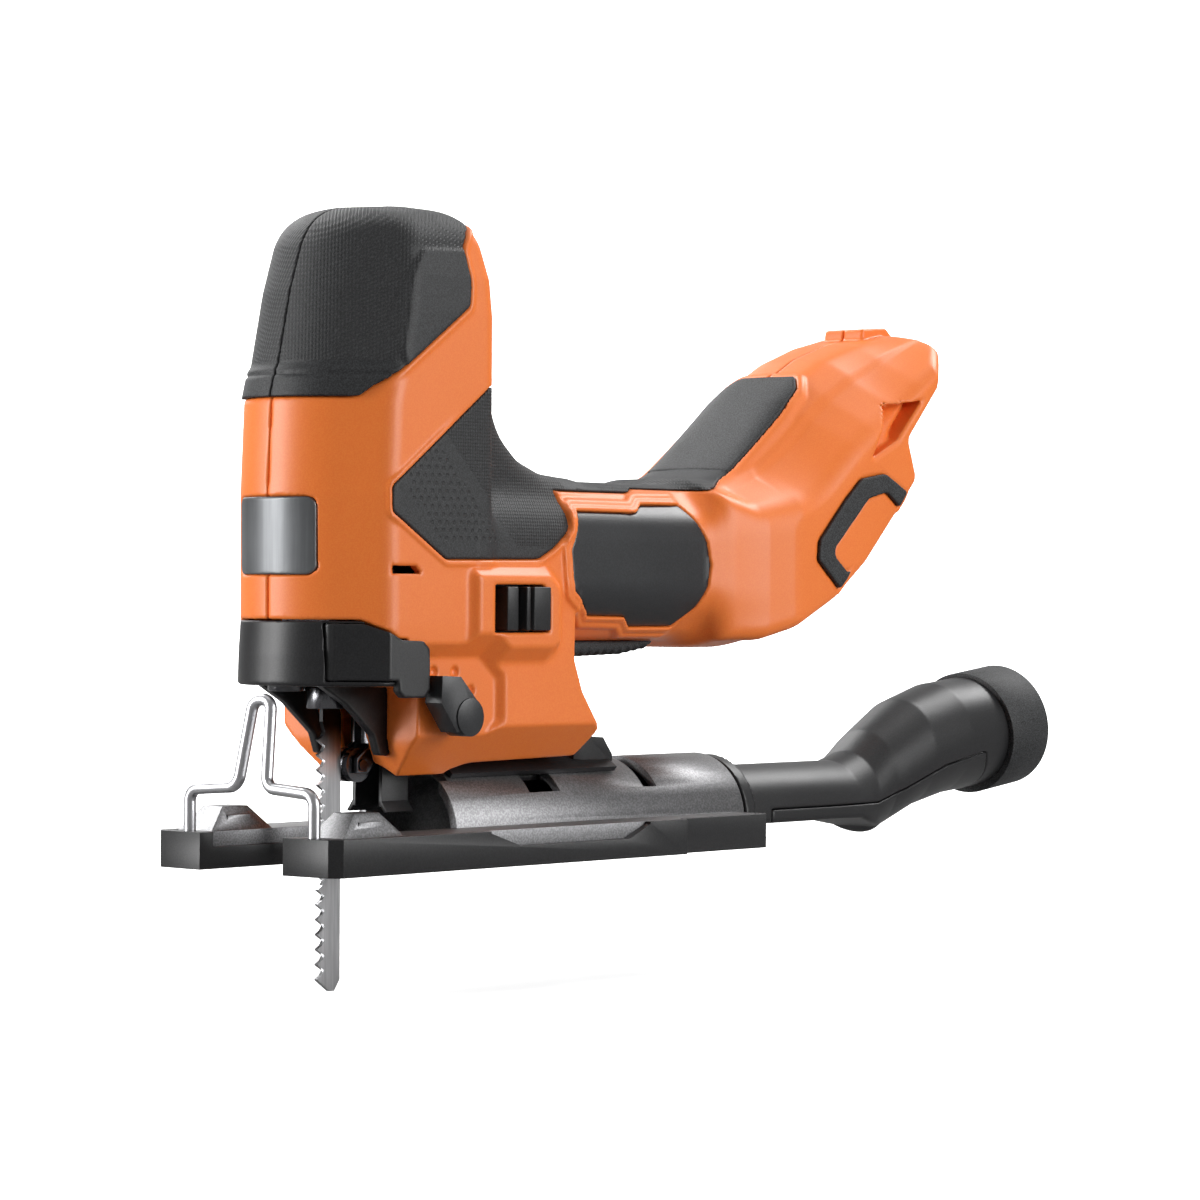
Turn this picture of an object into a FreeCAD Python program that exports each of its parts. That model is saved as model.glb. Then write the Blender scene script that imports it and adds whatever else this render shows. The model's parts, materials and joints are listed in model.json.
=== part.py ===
"""Barrel-grip cordless jigsaw, in millimetres.

The origin is on the blade's axis in the plane of the sole. +X points to the rear of the tool,
-X is the cutting direction, +Y is the tool's right side and +Z is up.
"""
import FreeCAD, Part
import math
import os

# ---- driving dimensions -------------------------------------------------------------------
WALL = 2.4                 # clamshell wall
SKIN = 1.5                 # rubber overmould thickness
GAP = 0.4                  # clearance between pieces that move past each other
RUN = 0.03                 # radial clearance of a running fit

HEAD_HALF_WIDTH = 28.5
HEAD_FRONT = -24.2         # front of the head at mid height
HEAD_REAR = 45.5
HEAD_TOP = 180.0
NOSE_BOTTOM = 49.5
NOSE_TOP = 67.0
BODY_HALF_WIDTH = 26.6     # lower body beside the fork
LEG_BOTTOM = 21.0
BEVEL_CLEAR = 11.4         # height above the sole where the 45 degree underside meets the middle

MOTOR_Z = 84.0             # motor axis height
BARREL_HALF_WIDTH = 27.5
BARREL_BOTTOM = 61.0
BARREL_TOP = 106.5
FOOT_HALF_WIDTH = 36.0     # battery foot
DOCK_TILT = math.radians(47.0)
DOCK_FLOOR = 74.0          # distance of the battery dock's floor from the origin along its normal
DOCK_HALF_WIDTH = 29.5

GEAR_MODULE = 0.9
PINION_TEETH = 12
GEAR_TEETH = 54
PRESSURE_ANGLE = math.radians(25.0)
GEAR_Z = MOTOR_Z + GEAR_MODULE * (PINION_TEETH + GEAR_TEETH) / 2
GEAR_FRONT = 22.0
GEAR_WIDTH = 7.0
CRANK_RADIUS = 10.0        # half of the 20 mm stroke
CRANK_PIN_R = 3.0

ROD_R = 5.0                # plunger rod
ROD_BOTTOM = 44.0
ROD_TOP = 158.0
COLLAR_R = 6.2
COLLAR_BOTTOM = 43.0
COLLAR_TOP = 49.0
CLAMP_ROOM_R = 8.6         # open space round the blade clamp
THROAT_HALF_WIDTH = 5.6    # slot for the guide fork

BLADE_THICK = 1.25
BLADE_BACK = 4.1
BLADE_FRONT = -4.1
BLADE_TIP = -33.7
BLADE_SHANK_TOP = 60.0
TOOTH_PITCH = 4.05
TOOTH_DEPTH = 2.6

FORK_PIVOT = (14.0, 64.5)  # X, Z
ROLLER = (8.95, 27.5)      # X, Z
ROLLER_R = 4.7
ORBIT_PIVOT = (20.5, 41.0)
ORBIT_SHAFT_R = 4.0
LEVER_PIVOT = (-15.0, -15.8)   # X, Y
LEVER_PIN_R = 1.2
LAMP_X = -16.3
LAMP_R = 5.0

SHOE_FRONT = -33.0
SHOE_REAR = 153.8
SHOE_HALF_WIDTH = 34.6
SHOE_REAR_HALF_WIDTH = 31.5
SHOE_STEP = 113.0
SHOE_GAP = 15.6            # half of the gap between the arms
SHOE_GAP_END = 26.0
DECK_TOP = 10.0
COVER_WALL = 2.2
TILT_Z = 8.0               # height of the bevel axis, which is the tunnel's axis
TUNNEL_R = 19.0
TUNNEL_WALL = 2.4
TUNNEL_FRONT = 31.0
TUNNEL_REAR = 157.0
CLAMP_X = 71.0
BOLT_HOLE_R = 3.1
SADDLE_ANGLE = 37.0
WIRE_R = 1.65

DUST_R = 14.8              # inside the tunnel
PORT_TILT = math.radians(6.9)
PORT_START = (295.5, 29.6) # X, Z of the front rim of the hose collar
PORT_LENGTH = 20.0
PORT_R = 19.65
PORT_BORE_R = 17.5


# ---- small helpers ------------------------------------------------------------------------
def vec(x, y, z):
    return FreeCAD.Vector(x, y, z)


def box(x0, x1, y0, y1, z0, z1):
    return Part.makeBox(x1 - x0, y1 - y0, z1 - z0, vec(x0, y0, z0))


def rod_x(x0, x1, y, z, r):
    return Part.makeCylinder(r, x1 - x0, vec(x0, y, z), vec(1, 0, 0))


def rod_y(x, y0, y1, z, r):
    return Part.makeCylinder(r, y1 - y0, vec(x, y0, z), vec(0, 1, 0))


def rod_z(x, y, z0, z1, r):
    return Part.makeCylinder(r, z1 - z0, vec(x, y, z0), vec(0, 0, 1))


def face(points):
    return Part.Face(Part.makePolygon(points + [points[0]]))


def prism_y(points, y0, y1):
    return face([vec(x, y0, z) for x, z in points]).extrude(vec(0, y1 - y0, 0))


def prism_x(points, x0, x1):
    return face([vec(x0, y, z) for y, z in points]).extrude(vec(x1 - x0, 0, 0))


def prism_z(points, z0, z1):
    return face([vec(x, y, z0) for x, y in points]).extrude(vec(0, 0, z1 - z0))


def mirrored(shape):
    return shape.mirror(vec(0, 0, 0), vec(0, 1, 0))


def fused(shapes):
    first, rest = shapes[0], shapes[1:]
    return first.fuse(rest).removeSplitter() if rest else first


def inset_polygon(points, inset):
    """Move every edge of a closed outline inwards by inset."""
    n = len(points)
    area = sum(points[i][0] * points[(i + 1) % n][1] - points[(i + 1) % n][0] * points[i][1]
               for i in range(n))
    side = 1.0 if area > 0 else -1.0
    lines = []
    for i in range(n):
        (x0, y0), (x1, y1) = points[i], points[(i + 1) % n]
        length = math.hypot(x1 - x0, y1 - y0)
        nx, ny = -(y1 - y0) / length * side, (x1 - x0) / length * side
        lines.append((nx, ny, nx * (x0 + nx * inset) + ny * (y0 + ny * inset)))
    moved = []
    for i in range(n):
        (a, b, c), (d, e, f) = lines[i - 1], lines[i]
        det = a * e - b * d
        moved.append(((c * e - b * f) / det, (a * f - c * d) / det))
    return moved


def dock_point(along, out):
    """X, Z of a point of the tilted battery dock: along its floor, and out along its normal."""
    c, s = math.cos(DOCK_TILT), math.sin(DOCK_TILT)
    return (s * out + c * along, -c * out + s * along)


def dock_box(along0, along1, out0, out1, y0, y1):
    corners = [dock_point(along0, out0), dock_point(along1, out0),
               dock_point(along1, out1), dock_point(along0, out1)]
    return prism_y(corners, y0, y1)


def main_solid(shape):
    """The largest solid, without the slivers that a boolean leaves beside it."""
    return max(shape.Solids, key=lambda solid: solid.Volume)


def save(node, shape):
    shape.exportStep("parts/" + node + ".step")


# ---- outer form of the housing ------------------------------------------------------------
# plan outline of the head, as fractions of its length from the front and of its half width
HEAD_PLAN = [(0.0, 0.21), (0.072, 0.54), (0.26, 1.0), (0.84, 1.0), (0.95, 0.72), (1.0, 0.40)]


def head_section(z, front, rear, half_width, inset):
    f, length, h = front + inset, rear - front - 2 * inset, half_width - inset
    half = [(f + a * length, b * h) for a, b in HEAD_PLAN]
    points = half + [(x, -y) for x, y in reversed(half)]
    return Part.makePolygon([vec(x, y, z) for x, y in points + [points[0]]])


def head(inset):
    levels = [
        (NOSE_BOTTOM + inset, -24.6, HEAD_REAR, HEAD_HALF_WIDTH),
        (100.0, HEAD_FRONT, HEAD_REAR, HEAD_HALF_WIDTH),
        (125.0, -22.8, HEAD_REAR, HEAD_HALF_WIDTH),
        (155.0, -15.8, HEAD_REAR, HEAD_HALF_WIDTH - 0.5),
        (169.0, -11.2, 44.0, HEAD_HALF_WIDTH - 3.0),
        (176.5 - inset, -6.0, 40.0, 22.0),
        (HEAD_TOP - inset, 3.0, 34.0, 18.0),
    ]
    return Part.makeLoft([head_section(*level, inset) for level in levels], True, True)


LOWER_TOP = 76.0
LOWER_SIDE = [(2.0, LOWER_TOP), (2.0, 50.0), (5.2, 43.0), (13.5, 27.5), (17.0, LEG_BOTTOM),
              (25.0, LEG_BOTTOM),
              (29.0, 25.0), (35.0, 27.4), (84.0, 28.3), (88.5, 36.0), (80.5, 47.0), (77.0, 56.0),
              (77.5, LOWER_TOP)]


def lower_body(inset):
    side = prism_y(inset_polygon(LOWER_SIDE, inset), -40, 40)
    h = BODY_HALF_WIDTH
    low = LEG_BOTTOM - BEVEL_CLEAR
    front = [(-h, LOWER_TOP), (-h, h + BEVEL_CLEAR), (-low, LEG_BOTTOM), (low, LEG_BOTTOM),
             (h, h + BEVEL_CLEAR), (h, LOWER_TOP)]
    plan = [(-30, -h), (79.0, -h), (89.0, -h + 12), (89.0, h - 12), (79.0, h), (-30, h)]
    across = prism_x(inset_polygon(front, inset), -30, 100)
    return side.common(across).common(prism_z(inset_polygon(plan, inset), 0, 100))


def barrel(inset):
    h, z0, z1, c = BARREL_HALF_WIDTH, BARREL_BOTTOM, BARREL_TOP, 12.0
    outline = [(-h, z0 + c), (-h + c, z0), (h - c, z0), (h, z0 + c), (h, z1 - c), (h - c, z1),
               (c - h, z1), (-h, z1 - c)]
    return prism_x(inset_polygon(outline, inset), 30.0, 150.0)


def neck(inset):
    side = [(30.0, 146.0), (45.5, 134.0), (47.5, 126.0), (52.0, 118.5), (59.0, 112.5),
            (70.0, 108.5), (86.0, BARREL_TOP),
            (86.0, 90.0), (30.0, 90.0)]
    front = [(-19.0, 90.0), (-19.0, 150.0), (19.0, 150.0), (19.0, 90.0)]
    across = prism_x(inset_polygon(front, inset), 20, 100)
    return prism_y(inset_polygon(side, inset), -30, 30).common(across)


FOOT_SIDE = [(135.0, BARREL_TOP), (145.0, BARREL_TOP), (158.6, 116.3), (180.0, 133.7),
             (190.0, 140.5), (203.0, 147.5), (219.0, 152.8),
             (238.0, 156.6), (243.0, 155.0), (243.0, 149.0), (217.8, 122.0), (222.2, 110.0),
             (215.5, 103.0),
             (196.0, 83.8), (181.0, 73.0), (162.0, 64.3), (149.0, BARREL_BOTTOM),
             (135.0, BARREL_BOTTOM)]


def foot(inset):
    h = FOOT_HALF_WIDTH
    plan = [(120.0, -26.0), (134.0, -28.0), (150.0, -33.5), (164.0, -h), (231.0, -h),
            (240.0, -h + 6.0), (245.0, -h + 16.0)]
    plan = plan + [(x, -y) for x, y in reversed(plan)]
    upright = prism_z(inset_polygon(plan, inset), 0, 200)
    return prism_y(inset_polygon(FOOT_SIDE, inset), -40, 40).common(upright)


def outer_form(inset):
    return fused([head(inset), lower_body(inset), barrel(inset), neck(inset), foot(inset)])


# ---- regions of the covers, as side outlines ----------------------------------------------
NOSE_SIDE = [(-30.0, 40.0), (-30.0, NOSE_TOP), (-10.8, NOSE_TOP), (-2.0, 62.0), (1.0, 62.0),
             (1.0, 40.0)]
CAP_SIDE = [(-40.0, 126.0), (-12.0, 126.0), (-10.7, 128.7), (24.4, 152.1), (23.9, 170.0),
            (27.0, 190.0), (-40.0, 190.0)]
NECK_SIDE = [(-5.1, 103.1), (31.0, 131.0), (60.0, 131.0), (60.0, 116.0), (80.0, 112.0),
             (142.0, 112.0),
             (142.0, 101.5), (70.0, 101.5), (67.9, 92.3), (54.5, 83.8), (15.8, 83.4), (-5.0, 96.0)]
PAD_SIDE = [(142.2, 98.0), (142.2, 112.0), (175.0, 142.0), (188.0, 146.0), (188.0, 132.0),
            (172.0, 118.0), (158.0, 105.0), (152.0, 98.0)]
PAD_HALF_WIDTH = 16.0
LABEL_SIDE = [(73.4, 97.7), (99.6, 97.6), (104.0, 100.0), (122.1, 100.0), (127.2, 93.2),
              (130.1, 83.0),
              (127.4, 72.8), (121.5, 65.5), (102.1, 65.5), (96.8, 67.9), (80.2, 68.2), (69.3, 75.5),
              (68.0, 86.7)]
BUMPER_SIDE = [(171.0, 90.8), (183.3, 102.9), (191.6, 109.7), (203.2, 111.5), (215.0, 106.0),
               (211.0, 101.0),
               (204.0, 105.5), (195.0, 103.5), (178.5, 88.5), (178.5, 86.0), (184.5, 81.5),
               (189.9, 84.5), (181.1, 76.0), (170.2, 84.8)]


FLANK_START = 18.0         # the bumpers and labels lie outside this |Y|
BADGE_HALF_WIDTH = 13.5
BADGE_Z = (80.0, 100.0)
BEZEL_SIDE = [(24.0, 62.0), (24.0, 81.0), (57.0, 81.0), (60.5, 77.5), (60.5, 62.0), (57.0, 59.0),
              (27.0, 59.0)]
PANEL_SIDE = [(8.0, 34.5), (8.0, 57.0), (33.0, 57.0), (40.0, 51.0), (40.0, 40.0), (34.0, 34.5)]
LATCH_SIDE = [(210.8, 121.8), (223.5, 134.5), (208.1, 132.3), (198.1, 115.9)]


def lever_solid(grow):
    """Blade release lever: a wing along the nose's left flank with a finger tab, and its knuckle."""
    plan = [(-16.8, -17.7), (-6.2, -28.7), (10.2, -29.8), (10.2, -26.9), (-5.0, -26.2),
            (-13.6, -17.4)]
    side = [(-20.0, 51.0), (-20.0, 66.2), (-10.8, 66.2), (-1.6, 61.7), (8.2, 61.2), (8.6, 46.2),
            (-3.0, 46.2), (-3.0, 51.0)]
    x, y = LEVER_PIVOT
    wing = prism_z(inset_polygon(plan, -grow), 40,
                   70).common(prism_y(inset_polygon(side, -grow), -40, 0))
    return wing.fuse(rod_z(x, y, 51.0 - grow, 66.2 + grow, 2.6 + grow)).removeSplitter()


def lever_sweep():
    """The room that the release lever needs beside the nose while it starts to swing out."""
    x, y = LEVER_PIVOT
    swept = []
    for angle in (0.0, 3.0, 6.0, 10.0):
        lever = lever_solid(GAP)
        lever.rotate(vec(x, y, 0), vec(0, 0, -1), angle)
        swept.append(lever)
    return swept[0].fuse(swept[1:])


# ---- fasteners of the clamshell -----------------------------------------------------------
SCREW_PLACES = [(40.5, 152.0), (62.0, 43.0), (135.0, 97.0), (135.0, 71.0), (160.0, 78.0),
                (192.0, 130.0), (224.0, 146.0)]
SCREW_R = 1.5
SCREW_HEAD_R = 2.9
SCREW_HEAD_Y = 17.0
BOSS_R = 4.2


def screw(x, z):
    shank = rod_y(x, -12.0, SCREW_HEAD_Y, z, SCREW_R)
    return shank.fuse(rod_y(x, SCREW_HEAD_Y, SCREW_HEAD_Y + 2.2, z, SCREW_HEAD_R))


def half_space(side):
    """A box that holds everything on one side of the parting plane."""
    half = box(-60, 300, 0, 45, -50, 200)
    return half if side > 0 else mirrored(half)


def both_sides(left):
    return Part.makeCompound([left, mirrored(left)])


def side_patches(skin, outline):
    """The parts of the skin inside a side outline, on the two flanks only."""
    region = prism_y(outline, -45, -FLANK_START)
    return skin.common(region.fuse(mirrored(region)))


def build_covers(skin):
    """The overmoulds, labels and badge. They are returned so that the shell makes room for them."""
    wraps = {"grip_cap": prism_y(CAP_SIDE, -45, 45), "neck_grip": prism_y(NECK_SIDE, -45, 45),
             "rear_pad": prism_y(PAD_SIDE, -PAD_HALF_WIDTH, PAD_HALF_WIDTH)}
    covers = []
    for node, region in wraps.items():
        piece = skin.common(region)
        save(node, both_sides(piece.common(half_space(-1))))
        covers.append(piece)
    flush = {"rear_bumpers": side_patches(skin, BUMPER_SIDE),
             "label_panels": side_patches(skin, LABEL_SIDE),
             "badge": skin.common(box(-40, -12, -BADGE_HALF_WIDTH, BADGE_HALF_WIDTH, *BADGE_Z))}
    for node, piece in flush.items():
        save(node, piece)
        covers.append(piece)
    return covers


def build_finger_pad():
    """A ribbed pad stuck under the barrel, where the fingers close round it."""
    side = [(83.5, 62.0), (83.5, 58.0), (88.0, 56.6), (110.0, 57.2), (122.0, 59.0), (126.0, 62.0)]
    pad = prism_y(side, -12.0, 12.0)
    ribs = [rod_y(87.0 + 4.0 * k, -11.0, 11.0, 56.6 + 0.2 * k, 1.2) for k in range(8)]
    save("finger_pad", fused([pad] + ribs).cut(barrel(0.0)))


def open_shell(shell):
    """The shell with its dock, windows, pockets and throat cut out."""
    # battery dock with its rails
    h = DOCK_HALF_WIDTH
    post_half = 15.2
    shell = shell.cut(dock_box(150, 268, DOCK_FLOOR, DOCK_FLOOR + 40, -h, h))
    shell = shell.cut(dock_box(197, 237, 60, DOCK_FLOOR + 1, -post_half, post_half))
    rail = dock_box(176, 262, 79.0, 82.0, 26.0, h + 1)
    shell = shell.fuse([rail, mirrored(rail)])
    # switch bezel with its window, on the left side
    shell = shell.fuse(prism_y(BEZEL_SIDE, -31.0, -26.2)).cut(box(33.0, 55.6, -40, -20, 63.7, 76.9))
    # panel round the orbital lever, and its shaft's hole
    x, z = ORBIT_PIVOT
    shell = shell.cut(prism_y(PANEL_SIDE, -40, -BODY_HALF_WIDTH + 1.2))
    shell = shell.cut(rod_y(x, -40, -20, z, ORBIT_SHAFT_R + RUN))
    # a short vent slot on each side of the head, and latch pockets near the rear corners
    vent = box(-4.5, 6.0, -40, -20, 79.6, 81.6)
    latch = prism_y(LATCH_SIDE, -40, -FOOT_HALF_WIDTH + 1.8)
    shell = shell.cut([vent, mirrored(vent), latch, mirrored(latch)])
    # concave seat over the shoe's tunnel, and the clamp bolt's hole
    shell = shell.cut(rod_x(20, 120, 0, TILT_Z, TUNNEL_R + 1.9))
    shell = shell.cut(rod_z(CLAMP_X, 0, 20, 42, BOLT_HOLE_R))
    # throat between the legs, open to the front for the fork and the dust duct
    throat = box(-10, 27.0, -THROAT_HALF_WIDTH, THROAT_HALF_WIDTH, 10, 70)
    return shell.cut([throat, rod_z(0, 0, 38, 62, CLAMP_ROOM_R)])


def build_nose(nose, lever_room):
    """The black band round the front with its floor, its two wings, the lever and the lamp."""
    wing_side = [(-19.0, NOSE_BOTTOM + 1), (-6.0, 44.5), (4.5, 36.0), (7.0, 30.0), (9.8, 30.0),
                 (12.5, 34.0), (1.5, 50.0), (1.0, NOSE_BOTTOM + 1)]
    wing = prism_y(wing_side, 10.0, 12.6).cut(lower_body(0.0))
    nose = nose.fuse([wing, mirrored(wing)])
    nose = nose.cut([rod_z(0, 0, 40, 60, CLAMP_ROOM_R),
                     box(0, 30, -THROAT_HALF_WIDTH, THROAT_HALF_WIDTH, 20, 60)])
    nose = nose.cut(lever_room).cut(rod_z(LAMP_X, 0, 40, 60, LAMP_R))
    x, y = LEVER_PIVOT
    save("nose_cover", main_solid(nose.cut(rod_z(x, y, 45, 70, LEVER_PIN_R))))
    save("release_lever", lever_solid(0.0).cut(rod_z(x, y, 40, 80, LEVER_PIN_R + RUN)))
    save("lever_pin", rod_z(x, y, NOSE_BOTTOM, NOSE_TOP, LEVER_PIN_R))
    lamp = rod_z(LAMP_X, 0, 48.0, 53.0, LAMP_R)
    save("work_light", lamp.cut(rod_z(LAMP_X, 0, 47.0, 49.2, LAMP_R - 1.4)))


def build_housing():
    outer = outer_form(0.0)
    cavity = outer_form(WALL)
    cavity = cavity.cut(dock_box(100, 320, DOCK_FLOOR - WALL, DOCK_FLOOR + 60, -40, 40))
    covers = build_covers(outer.cut(outer_form(SKIN)))
    build_finger_pad()

    lever_room = lever_sweep()
    nose_zone = prism_y(NOSE_SIDE, -45, 45)
    walls = outer.cut(cavity)
    shell = walls.cut(nose_zone).cut(lever_room)
    for cover in covers:
        shell = shell.cut(cover)
    shell = open_shell(shell)

    inside = outer_form(WALL / 2)
    shell = shell.fuse([rod_y(x, -40, 40, z, BOSS_R).common(inside) for x, z in SCREW_PLACES])
    shell = shell.cut([screw(x, z) for x, z in SCREW_PLACES])
    shell = shell.cut([rod_y(x, SCREW_HEAD_Y, 45, z, SCREW_HEAD_R) for x, z in SCREW_PLACES])
    save("left_shell", shell.common(half_space(-1)))
    save("right_shell", shell.common(half_space(1)))
    save("housing_screws", Part.makeCompound([screw(x, z) for x, z in SCREW_PLACES]))
    build_nose(walls.common(nose_zone).cut(covers[-1]), lever_room)


# ---- cast frame, bushings and bearings ----------------------------------------------------
ROTOR_START = 20.5
ROTOR_END = 99.0
SHAFT_R = 2.5
FRAME_X0 = 31.0
FRAME_X1 = 34.5
ROD_GUIDES = (20.0, 17.75)     # |Y| and X of the two counterweight rods
GUIDE_R = 1.5


def build_frame():
    plate = prism_x([(-22.0, 78.0), (-10.0, 68.0), (10.0, 68.0), (22.0, 78.0), (22.0, 143.0),
                     (-22.0, 143.0)],
                    FRAME_X0, FRAME_X1)
    top_arm = box(-9.0, FRAME_X1, -7.0, 7.0, 139.6, 149.0).fuse(rod_z(0, 0, 139.6, 149.0, 9.5))
    low_arm = box(-9.0, FRAME_X1, -9.0, 9.0, 60.5, 69.0)
    frame = fused([plate, top_arm, low_arm, rod_x(FRAME_X0, 41.0, 0, MOTOR_Z, 10.0)])
    guide_y, guide_x = ROD_GUIDES
    for side in (-1, 1):
        y = side * guide_y
        for z0 in (77.0, 141.0):
            frame = frame.fuse(box(guide_x - 3.0, FRAME_X1, y - 2.5, y + 2.5, z0, z0 + 3.0))
        frame = frame.cut(rod_z(guide_x, y, 70, 150, GUIDE_R))
    frame = frame.cut([rod_z(0, 0, 50, 160, 8.0), box(8.4, 23.0, -5.0, 5.0, 55, 75),
                       rod_x(20, 50, 0, MOTOR_Z, 4.0), rod_x(35.0, 50, 0, MOTOR_Z, 7.0),
                       rod_x(20, 50, 0, GEAR_Z, 4.0)])
    frame = frame.cut(rod_y(FORK_PIVOT[0], -20, 20, FORK_PIVOT[1], 2.0))
    save("gear_frame", frame.removeSplitter())
    for node, z0, z1 in (("lower_bushing", 60.5, 69.0), ("upper_bushing", 139.6, 149.0)):
        save(node, rod_z(0, 0, z0, z1, 8.0).cut(rod_z(0, 0, z0, z1, ROD_R + RUN)))
    save("gear_axle", rod_x(20.6, FRAME_X1, 0, GEAR_Z, 4.0))
    save("counterweight_rods", both_sides(rod_z(guide_x, -guide_y, 77.0, 144.0, GUIDE_R)))
    save("fork_pin", rod_y(FORK_PIVOT[0], -9.0, 9.0, FORK_PIVOT[1], 2.0))
    for node, x0, r in (("front_bearing", 35.0, 7.0), ("rear_bearing", 92.0, 6.5)):
        bore = rod_x(x0, x0 + 5.0, 0, MOTOR_Z, SHAFT_R + RUN)
        save(node, rod_x(x0, x0 + 5.0, 0, MOTOR_Z, r).cut(bore))


# ---- motor --------------------------------------------------------------------------------
STATOR_X0 = 56.0
STATOR_X1 = 78.0
STATOR_R = 19.3
STATOR_SLOTS = 6
MAGNET_R = 9.8


def build_motor():
    teeth = []
    coils = []
    for k in range(STATOR_SLOTS):
        tooth = box(STATOR_X0, STATOR_X1, -2.4, 2.4, 10.4, 16.5)
        coil = box(STATOR_X0 - 2.5, STATOR_X1 + 2.5, -4.6, 4.6, 11.4, 15.1)
        coil = coil.cut(box(STATOR_X0 - 0.5, STATOR_X1 + 0.5, -2.5, 2.5, 9, 17))
        for part, group in ((tooth, teeth), (coil, coils)):
            part.rotate(vec(0, 0, 0), vec(1, 0, 0), 360.0 / STATOR_SLOTS * k)
            part.translate(vec(0, 0, MOTOR_Z))
            group.append(part)
    ring = rod_x(STATOR_X0, STATOR_X1, 0, MOTOR_Z, STATOR_R)
    ring = ring.cut(rod_x(STATOR_X0, STATOR_X1, 0, MOTOR_Z, 15.9))
    save("stator", fused([ring] + teeth))
    save("stator_windings", Part.makeCompound(coils))
    bell = rod_x(90.0, 99.0, 0, MOTOR_Z, STATOR_R + 0.6)
    bell = bell.cut(rod_x(90.0, 97.0, 0, MOTOR_Z, STATOR_R - 1.4))
    hub = rod_x(91.0, 99.0, 0, MOTOR_Z, 9.0)
    bell = bell.fuse(hub).cut([rod_x(92.0, 97.0, 0, MOTOR_Z, 6.5), rod_x(80, 110, 0, MOTOR_Z, 5.0)])
    save("motor_end_cap", bell)

    save("rotor_shaft", rod_x(ROTOR_START, ROTOR_END - 1.0, 0, MOTOR_Z, SHAFT_R))
    magnets = rod_x(STATOR_X0 + 0.5, STATOR_X1 - 0.5, 0, MOTOR_Z, MAGNET_R)
    save("rotor_magnets", magnets.cut(rod_x(50, 90, 0, MOTOR_Z, SHAFT_R)))
    fan = [rod_x(83.0, 84.5, 0, MOTOR_Z, 17.5), rod_x(83.0, 89.0, 0, MOTOR_Z, 5.0)]
    blades = 11
    for k in range(blades):
        blade = box(84.0, 88.5, 4.0, 16.8, -0.6, 0.6)
        blade.rotate(vec(0, 0, 0), vec(1, 0, 0), 360.0 / blades * k)
        blade.translate(vec(0, 0, MOTOR_Z))
        fan.append(blade)
    save("cooling_fan", fused(fan).cut(rod_x(80, 95, 0, MOTOR_Z, SHAFT_R)))


# ---- gears and crank ----------------------------------------------------------------------
def involute(angle):
    return math.tan(angle) - angle


def gear_outline(teeth, first_tooth, backlash=0.12):
    """Y, Z points round a spur gear centred on the origin, with a tooth at the angle first_tooth."""
    pitch_r = GEAR_MODULE * teeth / 2
    base_r = pitch_r * math.cos(PRESSURE_ANGLE)
    tip_r = pitch_r + 0.8 * GEAR_MODULE
    root_r = pitch_r - 1.05 * GEAR_MODULE
    start_r = max(base_r, root_r + 0.01)
    pitch_half = (math.pi * GEAR_MODULE / 2 - backlash) / (2 * pitch_r)
    steps = 4
    radii = [start_r + (tip_r - start_r) * i / steps for i in range(steps + 1)]
    halves = [pitch_half + involute(PRESSURE_ANGLE) - involute(math.acos(base_r / r)) for r in radii]
    points = []
    for k in range(teeth):
        centre = first_tooth + 2 * math.pi * k / teeth
        flank = [(root_r, -halves[0])] + [(r, -h) for r, h in zip(radii, halves)]
        flank += [(r, -a) for r, a in reversed(flank)]
        points += [(r * math.cos(centre + a), r * math.sin(centre + a)) for r, a in flank]
    return points


def spur_gear(teeth, first_tooth, z, x0, x1):
    return prism_x([(y, z + h) for y, h in gear_outline(teeth, first_tooth)], x0, x1)


def build_gears():
    gear_x1 = GEAR_FRONT + GEAR_WIDTH
    down, up = -math.pi / 2, math.pi / 2
    pinion = spur_gear(PINION_TEETH, up + math.pi / PINION_TEETH, MOTOR_Z, 21.0, 30.3)
    save("pinion", pinion.cut(rod_x(15, 40, 0, MOTOR_Z, SHAFT_R)))
    gear = spur_gear(GEAR_TEETH, down, GEAR_Z, GEAR_FRONT, gear_x1)
    holes = [rod_x(10, 40, 0, GEAR_Z, 4.0 + RUN), rod_x(10, 40, CRANK_RADIUS, GEAR_Z, CRANK_PIN_R)]
    for k in range(1, 6):
        angle = math.radians(60.0 * k)
        y, z = 15.5 * math.cos(angle), GEAR_Z + 15.5 * math.sin(angle)
        holes.append(rod_x(10, 40, y, z, 3.6))
    save("drive_gear", gear.cut(holes))
    save("crank_pin", rod_x(14.6, gear_x1, CRANK_RADIUS, GEAR_Z, CRANK_PIN_R))
    guide_y, guide_x = ROD_GUIDES
    weight = box(16.0, 19.5, -23.0, 23.0, GEAR_Z - 27.0, GEAR_Z + 18.0)
    weight = weight.cut(box(10, 22, -14.0, 14.0, GEAR_Z - 20.0, GEAR_Z + 30.0))
    weight = weight.cut([rod_z(guide_x, y, 70, 150, GUIDE_R + RUN) for y in (-guide_y, guide_y)])
    save("counterweight", weight)


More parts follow.
